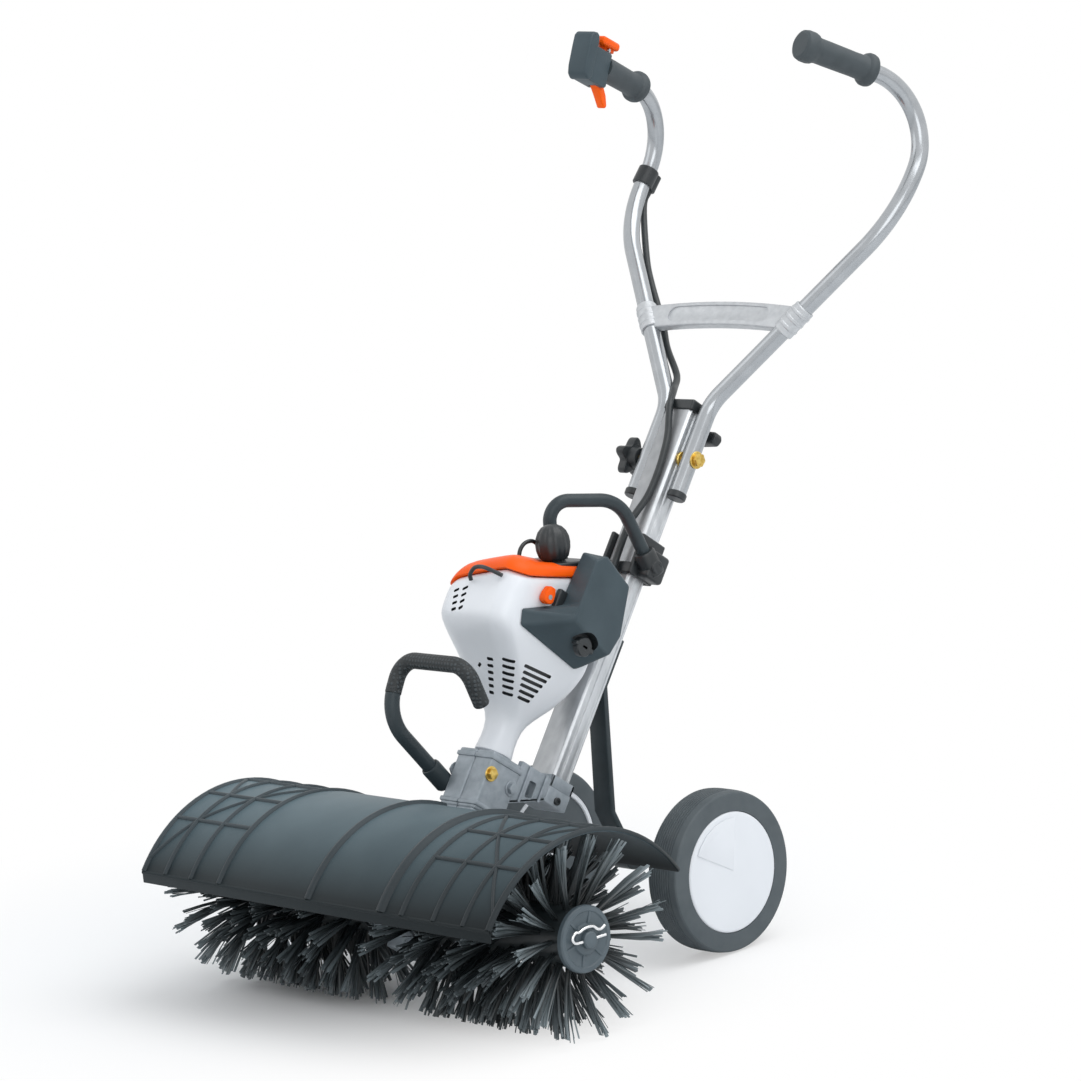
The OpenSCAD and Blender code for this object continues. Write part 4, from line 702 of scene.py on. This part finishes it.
def strut():
    top = STRUT_S + STRUT_LEN
    outline = [driven(0, STRUT_Q, s) for s in (top, STRUT_S)]
    outline += [spot(0, y, z) for y, z in ((330.5, 165), (360.5, 100), (369.5, 100), (339.5, 165))]
    outline += [driven(0, STRUT_Q + STRUT_WALL, s) for s in (STRUT_S, top)]
    bar = slab("bar", dark_paint, [p - ACROSS * 0.015 for p in outline], ACROSS * 0.03, 1.6)
    boss = turned("boss", dark_paint, spot(0, AXLE_Y, AXLE_Z), ACROSS, [
        (7.6, -15), (13.6, -15), (15, -13.5), (15, 13.5), (13.6, 15), (7.6, 15)])
    fitted([bar, boss], "axle_strut")
    bolts = []
    for share in (0.35, 0.8):
        base = driven(0, STRUT_Q, STRUT_S + STRUT_LEN * share)
        bolts += [pin("stem", turned_steel, base, BACK, 4, STRUT_WALL),
                  washer(turned_steel, base + BACK * STRUT_WALL * MM, BACK, 9),
                  hexagon(base + BACK * 0.0103, BACK, 7, 4.7, turned_steel)]
    fitted(bolts, "strut_bolts")


def tread(h):
    """Radius of the tyre's crowned tread at a height over its inner face."""
    return 99.9 - 1.6 * abs((h - 24) / 22) ** 4


def wheels():
    profile = [(74.8, 0), (94, 0), (96.6, 0.8), (98.0, 2.6)]
    for h in [5.6 + 3.9 * k for k in range(9)]:
        depth = tread(h) - 1.5
        profile += [(tread(h - 1.3), h - 1.3), (depth, h - 0.5), (depth, h + 0.5), (tread(h + 1.3), h + 1.3)]
    profile += [(98.6, 44.6), (98.0, 46.4), (96.4, 47.7), (94, 48), (74.8, 48)]
    for side, word in SIDES:
        base, axis = spot(side * 136, AXLE_Y, AXLE_Z), ACROSS * side
        tyre = turned("tyre", tyre_rubber, base, axis, profile, 96, 24)
        fitted([tyre], "tyre_" + word, word + "_wheel")
        parts = [turned("cover", white_plastic, base, axis, [
            (7.6, 0), (14.6, 0), (16, 1.5), (16, 40), (68, 43), (68, 1.2), (69, 0), (73.6, 0), (74.6, 1), (74.6, 46.4),
            (73.6, 48.2), (71.8, 48.9), (69, 49.0), (40, 50.2), (20, 50.8), (0, 51.0), (0, 39.3), (7.6, 39.3)], 80, 40)]
        parts += arms("web", white_plastic, base + axis * 0.024, axis * 0.02, 5, 0, (14, 69), 2.5, 0.8)
        parts.append(turned("back", tyre_rubber, base, axis, [(16.5, 2), (68.2, 2), (68.2, 4), (16.5, 4)], 64))
        wedge = [base + axis * (51.0 - 0.026 * r) * MM + spoke(a)[0] * r * MM
                 for r, a in [(3, -0.45)] + [(67, -1.05 + 0.1 * k) for k in range(13)]]
        parts.append(slab("wedge", white_plastic, wedge, axis * 0.0012, 0.5, 2))
        fitted(parts, "wheel_" + word, word + "_wheel")


# Engine. The vents are placed in a detail of the picture, enlarged from its corner.
TOP_RISE = radians(30)
DETAIL_X, DETAIL_Y, DETAIL_SCALE = 420, 480, 4.48


def shroud_ring(front, rear, half, corner, level, count=9):
    """One level of the shroud: a rounded oblong, level a height or a function of x and q."""
    ring = []
    for across, along, start in ((1, 1, 0), (-1, 1, 90), (-1, -1, 180), (1, -1, 270)):
        cx, cq = across * (half - corner), rear - corner if along > 0 else corner - front
        for k in range(count):
            a = radians(start + 90 * k / (count - 1))
            x, q = cx + corner * cos(a), cq + corner * sin(a)
            ring.append(driven(x, q, level(x, q) if callable(level) else level))
    return ring


def crest(x, q):
    """Height of the shroud's top edge: a slope that rises to a brow at the front."""
    brow = max(0.0, min(1.0, -(q + 42) / 78))
    return 239.6 + q * tan(TOP_RISE) + 30 * brow * brow * (3 - 2 * brow) * (1 - ((x - 18) / 72) ** 2)


def near_crest(base, share, lift):
    """A level between a plain height and the crest, or a step off the crest."""
    return lambda x, q: base * (1 - share) + share * crest(x, q) + lift


def shroud(camera):
    levels = ((24, 24, 24, 23.9, 0.3), (24, 24, 24, 23.9, 5), (21.8, 21.8, 21.8, 21.7, 17), (22, 22, 22, 21.9, 42),
              (33, 29, 30, 27, 58), (56, 41, 43, 28, 80), (76, 48, 52, 29, 99), (103, 52.5, 58.5, 30, 119),
              (119, 54, 61.5, 29, 132), (122, 54, 62, 28, 141), (122, 54, 62, 27, near_crest(150, 0.38, 0)),
              (121, 54, 62, 26, near_crest(160, 0.75, 0)), (119, 53, 60.5, 25, near_crest(0, 1, -3)),
              (117, 51.5, 58.5, 24, crest))
    shell = lofted("shell", white_plastic, [shroud_ring(*level) for level in levels], 1, 50)
    cutters = []

    def slit(a, b, wide):
        """A vent slit between two points of the detail."""
        (hit_a, start, normal), (hit_b, stop, other) = [
            seen(camera, shell, DETAIL_X + x / DETAIL_SCALE, DETAIL_Y + y / DETAIL_SCALE) for x, y in (a, b)]
        if not (hit_a and hit_b):
            return
        out = (normal + other).normalized()
        flat = out.cross((stop - start).normalized()).normalized() * wide * MM
        low, high = start - out * 0.004, stop - out * 0.004
        corners = [low + flat, high + flat, high - flat, low - flat]
        cutters.append(slab("slit", black_plastic, corners, out * 0.012, wide * 0.7, 2))

    for k in range(6):
        slit((300 + 2 * k, 799 + 30 * k), (328 + 0.6 * k, 804 + 30 * k), 2.2)
        slit((368, 800 + 30 * k), (427 - 2 * k, 815 + 30 * k), 2.2)
        slit((468 - 6 * k, 830 + 28 * k), (586 - 19 * k, 885 + 22 * k), 2.1)
        slit((653 - 20 * k, 950 + 18 * k), (649 - 18 * k, 980 + 17 * k), 1.5)
    slit((262, 835), (272, 820), 2.0)
    for k in range(4):
        slit((152 - 4 * k, 498 + 28 * k), (176 - 5 * k, 487 + 29 * k), 1.9)
        slit((190 - 6 * k, 490 + 29 * k), (216 - 8 * k, 477 + 29 * k), 1.9)
    carved(shell, joined(cutters))
    fitted([shell], "engine_shroud")


def top_cover():
    levels = ((121.2, 42, 61, 25, 0), (122.8, 43, 62.4, 26, 1.4), (122.4, 42.5, 62, 26, 7), (119.5, 40.5, 59.5, 25, 13),
              (112, 36, 52, 22, 18), (88, 22, 34, 18, 21))
    rings = [shroud_ring(*size, near_crest(0, 1, 0.4 + lift)) for *size, lift in levels]
    fitted([lofted("cover", orange_plastic, rings, 1, 50)], "top_cover")


def filter_cover():
    back = [(-34.5, 262), (-6, 268), (29, 249), (45, 178), (34, 143), (18, 128), (-88, 139), (-95, 158), (-40, 189)]
    waist = [(-36, 260.5), (-10, 267), (28, 248.5), (44, 179), (34, 145.5), (20.5, 133), (-77, 145.5), (-83, 161),
             (-40.5, 189)]
    face = [(-41, 249), (-28, 261.5), (24, 245), (39, 185), (33, 158), (28, 155.5), (-38, 170), (-40, 174.5),
            (-41, 190)]
    rings = [[driven(x, q, s) for q, s in ring] for x, ring in ((62.4, back), (70, waist), (99.2, face))]
    shell = lofted("filter_shell", dark_plastic, rings, 0, 20)
    rounded(shell, 3.6, 4, 14)
    knob_q, knob_s = -6, 150
    carved(shell, turned("dish", black_plastic, driven(120, knob_q, knob_s), -ACROSS, [
        (0, 0), (18, 0), (18, 33.6), (17, 34.7), (0, 34.7)], 48))
    stem = pin("dish_stem", black_plastic, driven(84, knob_q, knob_s), ACROSS, 4, 11.2)
    catch = block("catch", black_plastic, (62.3, -53, 172), (8, 14, 33), 2.6)
    fitted([shell, stem, catch], "air_filter_cover", name="filter_cover_form")
    hub = turned("hub", black_plastic, driven(85.6, knob_q, knob_s), ACROSS, [
        (4.05, 0), (11, 0), (12, 1), (12, 8), (11, 9.4), (4.05, 9.7)], 40)
    wing = [driven(85.8, knob_q + q, knob_s + s) for q, s in ((-15.6, -2.4), (15.6, -3.2), (15.6, 3.2), (-15.6, 2.4))]
    wing = slab("wing", black_plastic, wing, ACROSS * 0.0094, 1.4)
    fitted([hub, wing], "filter_knob", "filter_knob")
    lever = [driven(62.7, -68 + q, 186 + s) for q, s in (
        (-8, -3), (-6, -7), (0, -8.4), (6, -7), (8, -3), (7.4, 5), (4.6, 13), (-4.6, 13), (-7.4, 5))]
    lever = slab("lever", orange_plastic, lever, ACROSS * 0.0116, 2.0, 4)
    fitted([lever], "choke_knob", "choke_knob", "lever")


# Starter. The pull and the carry handle's socket stand on the top cover.
PULL_X, PULL_Y, SOCKET_Y = 30, 262.151, 288.151


def floor_z(y):
    """Height of the top cover's upper face over a place on the middle line, in millimetres."""
    rise = TOP_RISE - LEAN
    foot = driven(0, 0, 240) + Vector((0, -sin(rise), cos(rise))) * 0.025
    return (foot.z + (y * MM - MIDDLE.y - foot.y) * tan(rise)) / MM


def post(name, x, y, r, top, bore, depth):
    h = top - floor_z(y)
    return turned(name, black_plastic, spot(x, y, floor_z(y)), UP, [
        (0, -12), (r + 5, -12), (r + 4, 0), (r + 0.8, 3), (r, 5), (r, h - 1.4), (r - 1.4, h), (bore, h),
        (bore, h - depth), (0, h - depth)])


def starter(camera):
    base = [post("socket", 0, SOCKET_Y, 14, 519.58, 8.6, 14), post("guide", PULL_X, PULL_Y, 10, 495.6, 3, 4)]
    plate = [(-26, 236), (44, 236), (56, 248), (56, 296), (46, 306), (-26, 306)]
    base.append(slab("plate", black_plastic, [spot(x, y, floor_z(y) - 15) for x, y in plate], UP * 0.0145, 3.0, 4))
    loop = [(519, 556), (520.5, 549), (525, 543), (532, 541), (538, 545), (541, 552)]
    base.append(rod("loop", black_plastic, flowing([sighted(camera, px, py, 12) for px, py in loop], 5), 2.6, 10))
    fitted(base, "starter_housing", name="starter_base")
    ribs, radius, foot, height = 12, 22, 496.0, 45
    rings = []
    for share, h in ((0.45, 0), (0.62, 0.02), (0.86, 0.13), (0.98, 0.32), (1.0, 0.48), (0.96, 0.64), (0.82, 0.8),
                     (0.6, 0.92), (0.36, 0.98), (0.2, 1.0)):
        flute = 0.09 * max(0, min(1, 2.2 * share - 0.7))
        ring = []
        for a in turns(ribs * 4):
            r = radius * share * (1 - flute * (0.5 - 0.5 * cos(a * ribs)))
            ring.append(spot(PULL_X + r * cos(a), PULL_Y + r * sin(a), foot + height * h))
        rings.append(ring)
    fitted([lofted("grip", black_plastic, rings, 0, 70)], "starter_grip", "starter_grip")
    clear()
    bpy.ops.mesh.primitive_cylinder_add(vertices=14, radius=0.0025, depth=0.0048, location=spot(PULL_X, PULL_Y, 495.2))
    line = named("pull_rope", rope_braid)
    bpy.ops.object.transform_apply(location=True, rotation=False, scale=False)
    smooth(line)
    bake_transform(line)
    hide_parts("starter_rope")


def handles():
    carry = bent([spot(38.5, 418.475, 453.794), spot(30.5, 378.475, 551.794), spot(0, SOCKET_Y, 564.58),
                  spot(0, SOCKET_Y, 505.7)], (45, 24), 14)
    fitted([rod("bar", dark_paint, carry, 8.5, 24)], "carry_handle")
    front = bent(FRONT_HANDLE, (55, 24, 24), 14)
    grip_from = next(i for i, p in enumerate(front) if p.z > spot(0, 0, 366).z)
    bar = rod("bar", dark_paint, front[:grip_from + 1], 9.4, 24)
    grip = rod("grip", stud_rubber, front[grip_from:], 10, 28)
    knob = turned("tip", stud_rubber, front[-1], front[-1] - front[-2], [
        (0, -4), (10, -4), (9.8, 0.6), (8.6, 2.8), (6, 4.2), (0, 4.8)], 28)
    fitted([bar, grip, knob], "front_handle")
    parts = [block("band", black_plastic, (x, q, 286), size, 2.0) for x, q, size in (
        (-29, 78.5, (58, 6.5, 15)), (-29, 115.2, (58, 6.3, 54)), (-29, 78.5, (6, 43, 54)), (23.2, 78.5, (6, 43, 54)))]
    parts.append(block("lug", black_plastic, (27, 90.5, 287), (20.5, 30, 36.5), 4.5, 4))
    way = Vector((-8, -40, 98)).normalized()
    parts.append(turned("collar", black_plastic, driven(38.5, 107.75, 299.5) - way * 0.002, way, [
        (0, 0), (13, 0), (14, 1.5), (14, 30), (12.4, 33), (8.6, 33), (8.6, 10), (0, 10)], 36))
    parts.append(turned("bolt", black_plastic, driven(46, COLUMN_Q, 304), ACROSS, [
        (0, 0), (9, 0), (9, 4), (7.6, 5.6), (4.4, 5.6), (4, 3.4), (0, 3.4)], 30))
    fitted(parts, "handle_clamp")


# Handlebar: the corners of the left bar, from its foot to the end of its grip
BAR = [spot(37.5, 473.851, 545.095), spot(37.5, 545.682, 646.171), spot(242.5, 698.682, 866.171),
       spot(232.5, 803.682, 998.171), spot(191.5, 605.682, 1083.17)]
FAR_BAR = mirrored(BAR)
GRIP = (BAR[4] - BAR[3]).normalized()
PIVOT = driven(0, COLUMN_Q, 452)
COLLAR = [(0, 0), (16, 0), (20.2, 1.2), (21, 4), (21, 8), (19.6, 11), (16.8, 13), (15.8, 16), (15.5, 30),
          (15.8, 50), (16.0, 70)]


def plain(points, side):
    return points if side > 0 else mirrored(points)


def handlebar():
    path = bent(BAR, (57, 170, 80), 22)
    for side, word in SIDES:
        tube = rod("tube", tube_alloy, plain(path, side), 11, 36)
        fitted([tube], "handle_tube_" + word, "handlebar")
    plugs = []
    for side, _ in SIDES:
        foot, way = plain([BAR[0], BAR[1] - BAR[0]], side)
        plugs.append(turned("plug", black_plastic, foot - way.normalized() * 0.009, way, [
            (0, 0), (10.6, 0), (12.2, 1.4), (12.5, 3), (12.5, 8), (11.6, 9.2), (8.8, 9.2), (8.8, 25), (0, 25)], 40))
    fitted(plugs, "tube_plugs", "handlebar")
    left = COLLAR + [(16.0, 84), (16.8, 89), (19.0, 92), (20.0, 96), (20.0, 104), (18.6, 109), (15.0, 111.6), (0, 112)]
    left = turned("grip", grip_rubber, BAR[4] - GRIP * 0.106, GRIP, left, 64)
    fitted([left], "grip_left", "handlebar")
    foot, way = mirrored([BAR[4] - GRIP * 0.122, GRIP])
    right = turned("grip", grip_rubber, foot, way, COLLAR + [(16.0, 86), (0, 86)], 64)
    fitted([right], "grip_right", "handlebar")


# Throttle: the axes of its housing are down, aside and along the grip
DOWN, ASIDE = Vector((0, -0.394479, -0.918905)), Vector((-0.982374, -0.171766, 0.0737378))
FORTH = Vector((0.186924, -0.902708, 0.387526))


def house(x, y, z):
    return FAR_BAR[4] - FORTH * 0.0357 + (DOWN * x + ASIDE * y + FORTH * z) * MM


def plated(name, material, outline, half, edge=0, segments=3):
    """A plate of the throttle, as far to one side of its middle as to the other."""
    return slab(name, material, [house(x, -half, z) for x, z in outline], ASIDE * 2 * half * MM, edge, segments)


def throttle():
    shield = plated("shield", dark_plastic, [
        (-34, 42), (-32.6, 50), (-27, 53.6), (-12, 54), (14, 53.6), (25, 51), (30, 44), (29, 38), (23, 35), (-26, 35),
        (-32, 37)], 15, 6.5, 6)
    neck = plated("neck", dark_plastic, [(-18, 3), (-16, 0), (26, 0), (28.8, 3), (28.8, 40), (-18, 40)], 13, 3.0, 4)
    carved(neck, plated("gap", dark_plastic, [(13, -4), (34, -4), (34, 14.3), (13, 14.3)], 6.3))
    carved(neck, plated("gap", dark_plastic, [(-31.6, -4), (-13, -4), (-13, 14.4), (-31.6, 14.4)], 5.3))
    fitted([shield, neck], "throttle_housing", "handlebar")
    lever = [(22 + x, 8 + z) for x, z in (
        (-3, 1), (1, 5.6), (6, 3), (16, -9), (28.5, -22.5), (27.5, -26), (23.5, -26.8), (12, -21),
        (1, -11), (-3.5, -8))]
    trigger = [plated("lever", orange_plastic, lever, 6, 2.2, 4),
               pin("pin", turned_steel, house(22, -10, 8), ASIDE, 2.5, 20)]
    fitted(trigger, "throttle_trigger", "throttle_trigger")
    switch = [turned("hub", orange_plastic, house(-22, -5, 3), ASIDE, [
                  (0, 0), (5, 0), (5.4, 0.5), (5.4, 9.5), (5, 10), (0, 10)], 28),
              block("arm", orange_plastic, (-31, -5, -12), (9, 10, 20), 1.0, 2, house),
              block("paddle", orange_plastic, (-36.5, -12, -15), (11, 24, 38), 4.2, 5, house),
              pin("pin", turned_steel, house(-22, -9, 3), ASIDE, 2.5, 18)]
    fitted(switch, "stop_switch", "stop_switch")


def arch(x):
    """How far the brace rises over its ends."""
    return 7 * (1 - (x / 130) ** 2)


def arched(x0, x1, y, steps):
    """Points of a line that follows the arch, without its last."""
    return [(x, y + arch(x)) for x in [x0 + (x1 - x0) * k / steps for k in range(steps)]]


def brace():
    way = (BAR[2] - BAR[1]).normalized()
    middle = BAR[1] + way * 0.15
    up = Vector((0, way.y, way.z)).normalized()
    out = ACROSS.cross(up)
    centre = Vector((0, middle.y, middle.z))

    def face(points, z):
        return [centre + (ACROSS * x + up * y + out * z) * MM for x, y in points]

    top, foot = arched(-140, 140, 16, 24), arched(116, -116, -17, 24)
    outline = top + [(140, 16 + arch(140))] + foot + [(-116, -17 + arch(116))]
    plate = slab("plate", cast_bright, face(outline, -7), out * 0.014, 2.6, 4)
    half, r, panel = 78, 10.5, []
    for side, start in ((1, -90), (-1, 90)):
        for a in [radians(start + 18 * k) for k in range(10)]:
            x = side * half + r * cos(a)
            panel.append((x, r * sin(a) + arch(x)))
        panel += arched(side * half, -side * half, side * r, 10)
    carved(plate, slab("panel", cast_bright, face(panel, 4.4), out * 0.008, 1.0, 2))
    parts = [plate]
    profile = [(11.05, 0), (12.8, 0), (13.6, 1.0)]
    for h in (8, 19, 30):
        profile += [(13.6, h), (14.3, h + 1), (14.3, h + 4), (13.6, h + 5)]
    profile += [(13.6, 40.4), (12.8, 41.6), (11.05, 41.6)]
    for side, _ in SIDES:
        foot, ahead = plain([middle, way], side)
        parts.append(turned("sleeve", cast_bright, foot - ahead * 0.021, ahead, profile, 48))
    fitted(parts, "cross_brace", "handlebar")


def pivots():
    parts = [pin("bolt", zinc_yellow, PIVOT - ACROSS * 0.0725, ACROSS, 5, 129, 28)]
    for side, _ in SIDES:
        parts.append(turned("washer", zinc_yellow, PIVOT + ACROSS * side * 0.0231, ACROSS * side, [
            (5, 0), (10, 0), (10, 2.6), (9.4, 3.1), (5, 3.1)], 36))
    parts.append(turned("washer", zinc_yellow, PIVOT + ACROSS * 0.0488, ACROSS, [
        (5, 0), (11, 0), (11, 1.2), (10.4, 1.6), (5, 1.6)], 36))
    parts.append(hexagon(PIVOT + ACROSS * 0.0502, ACROSS, 9, 6.2, zinc_yellow))
    fitted(parts, "pivot_bolt")
    star = []
    for a in turns(60):
        r = 21.2 + 4.6 * cos(5 * a)
        star.append(PIVOT - ACROSS * 0.0725 + Vector((0, cos(a), sin(a))) * r * MM)
    head = slab("head", black_plastic, star, ACROSS * 0.013, 2.2, 4)
    hub = turned("hub", black_plastic, PIVOT - ACROSS * 0.0608, ACROSS, [
        (5.05, 0), (15, 0), (13, 8), (12, 12), (5.05, 12)], 40)
    fitted([head, hub], "star_knob", "star_knob")
    base = driven(0, 115.5, 503)
    stud = pin("stud", turned_steel, base - BACK * 0.014, BACK, 4, 16, 24)
    boss = turned("post", black_plastic, base + BACK * 0.0003, BACK, [
        (0, 0), (10, 0), (9, 6), (8, 18), (9.4, 26), (10, 30), (8, 32), (0, 32.4)], 40)
    wing = [base + BACK * 0.0232 + (ACROSS * x + SHAFT * s) * MM for s, x in (
        (-8, -21), (0, -25), (8, -21), (9, 0), (8, 21), (0, 25), (-8, 21), (-9, 0))]
    wing = slab("wing", black_plastic, wing, BACK * 0.0148, 3.4, 4)
    fitted([stud, boss, wing], "wing_knob", "wing_knob")


# Cables. The throttle cable lies behind the far bar from the clip down, then on the column.
CABLE_LIFT = 15.8


def behind(way):
    """The way straight back from a bar."""
    return (Vector((0, 1, 0)) - way * way.y).normalized()


def beside(start, way, along, lift):
    return start + way * along * MM + behind(way) * lift * MM


def cables():
    up, spread = Vector((10, 105, 132)).normalized(), Vector((-205, 153, 220)).normalized()
    route = []
    for start, way, rows in ((FAR_BAR[2], up, ((74, 0), (52, 0), (30, 4))),
                             (FAR_BAR[1], spread, ((270, 3), (220, 1), (150, 4), (104, 2)))):
        route += [beside(start, way, along, CABLE_LIFT + lift) for along, lift in rows]
    route += [driven(*row) for row in (
        (-64, 114, 585), (-50, 110, 570), (-36, 99, 553), (-23, 88, 540), (-11, 78.6, 522), (-4, 77, 505),
        (4, 79.7, 478), (9, 79.7, 455), (12, 79.7, 425), (10, 79.7, 392), (5, 76, 366), (3, 72.7, 348),
        (4, 72.7, 296), (13, 68, 272), (16, 64, 254), (17, 58.8, 238))]
    cable = rod("throttle_cable", cable_skin, flowing(route), 4.5, 14)
    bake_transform(cable)
    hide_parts("cable_lower", "cable_bridge", "cable_upper")
    ring = beside(FAR_BAR[2], up, 52, 0)
    clip = [turned("clip", black_plastic, ring, up, [
                (11.3, 0), (13.2, 0), (14, 1), (14, 23), (13.2, 24), (11.3, 24)], 40),
            turned("clip_eye", black_plastic, ring + behind(up) * CABLE_LIFT * MM, up, [
                (4.6, 0), (6.8, 0), (7.5, 0.8), (7.5, 23.2), (6.8, 24), (4.6, 24)], 28)]
    fitted(clip, "cable_clip", "handlebar")
    lead = flowing([driven(*row) for row in (
        (-9, -124, 178), (-7, -130, 183), (1, -134, 190), (12, -134, 192), (26, -133, 190), (42, -124, 187))], 8)
    fitted([rod("lead", cable_skin, lead, 2.6, 12)], "ignition_lead")


# Pieces whose solid is already their shape get their finish only.
KEPT = {
    "hood_screws": black_plastic, "wheel_axle": turned_steel, "axle_collars": turned_steel, "engine_block": cast_grey,
    "muffler": turned_steel, "carburettor": cast_grey, "fuel_tank": milky_plastic, "fuel_cap": black_plastic,
    "worm_wheel": bronze, "worm_shaft": turned_steel, "crankshaft": turned_steel}


def kept():
    for name, material in KEPT.items():
        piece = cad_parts[name]
        piece.data.materials.clear()
        piece.data.materials.append(material)


# Floor and light. The floor's shadow fades to white away from SHADOW; a lamp has a place, an aim, a size and a power.
SHADOW = (-0.35, -0.10, 0)
LAMPS = (((1.6, 0.9, 3.8), (0, 0, 0.3), 3.4, 78), ((-2.4, -2.6, 2.6), (0, 0, 0.4), 2.6, 16),
         ((3.4, -2.2, 2.0), (0, 0, 0.4), 2.4, 30))


def lay_floor():
    clear()
    bpy.ops.mesh.primitive_plane_add(size=30, location=(0, 0, -0.0005))
    floor = bpy.context.object
    floor.name = "floor"
    pale = bpy.data.materials.new("pale_floor")
    pale.use_nodes = True
    tree = pale.node_tree
    shaded(pale, {"Base Color": (0.90, 0.91, 0.92, 1), "Roughness": 0.9, "Specular IOR Level": 0.1})
    place = add_node(tree, "ShaderNodeTexCoord", "Object")
    reach = add_node(tree, "ShaderNodeVectorMath", "Value", {0: place, 1: SHADOW}, operation="DISTANCE")
    fade = ranged(tree, reach, 0.27, 0.82, interpolation_type="SMOOTHSTEP")
    straight = add_node(tree, "ShaderNodeLightPath", "Is Camera Ray")
    share = add_node(tree, "ShaderNodeMath", "Value", {0: straight, 1: fade}, operation="MULTIPLY")
    white = add_node(tree, "ShaderNodeEmission", "Emission", {"Strength": 1.0})
    mixed(tree, share, tree.nodes["Principled BSDF"].outputs["BSDF"], white, "Material Output")
    floor.data.materials.append(pale)


def light_up():
    """A soft sky, which shows and mirrors as plain white, and three broad lamps."""
    world = bpy.data.worlds.new("studio")
    bpy.context.scene.world = world
    world.use_nodes = True
    tree = world.node_tree
    sky = feed(tree, tree.nodes["Background"], {"Color": (0.97, 0.985, 1.0, 1), "Strength": 0.72})
    screen = add_node(tree, "ShaderNodeBackground", "Background", {"Color": (1, 1, 1, 1), "Strength": 1.0})
    shown = add_node(tree, "ShaderNodeLightPath", "Is Camera Ray")
    rays = shown.node.outputs
    for kind in ("Is Glossy Ray", "Is Transmission Ray"):
        shown = add_node(tree, "ShaderNodeMath", "Value", {0: shown, 1: rays[kind]}, operation="MAXIMUM")
    mixed(tree, shown, sky.outputs["Background"], screen, "World Output")
    for place, aim, size, power in LAMPS:
        bpy.ops.object.light_add(type="AREA", location=place)
        lamp = bpy.context.object
        lamp.data.size = size
        lamp.data.energy = power
        lamp.rotation_euler = (Vector(aim) - Vector(place)).to_track_quat("-Z", "Y").to_euler()
    bpy.context.scene.view_settings.view_transform = "Standard"


view = add_camera()
brush()
hood()
gearbox()
bracket()
column()
strut()
wheels()
shroud(view)
top_cover()
filter_cover()
starter(view)
handles()
handlebar()
throttle()
brace()
pivots()
cables()
kept()
lay_floor()
light_up()
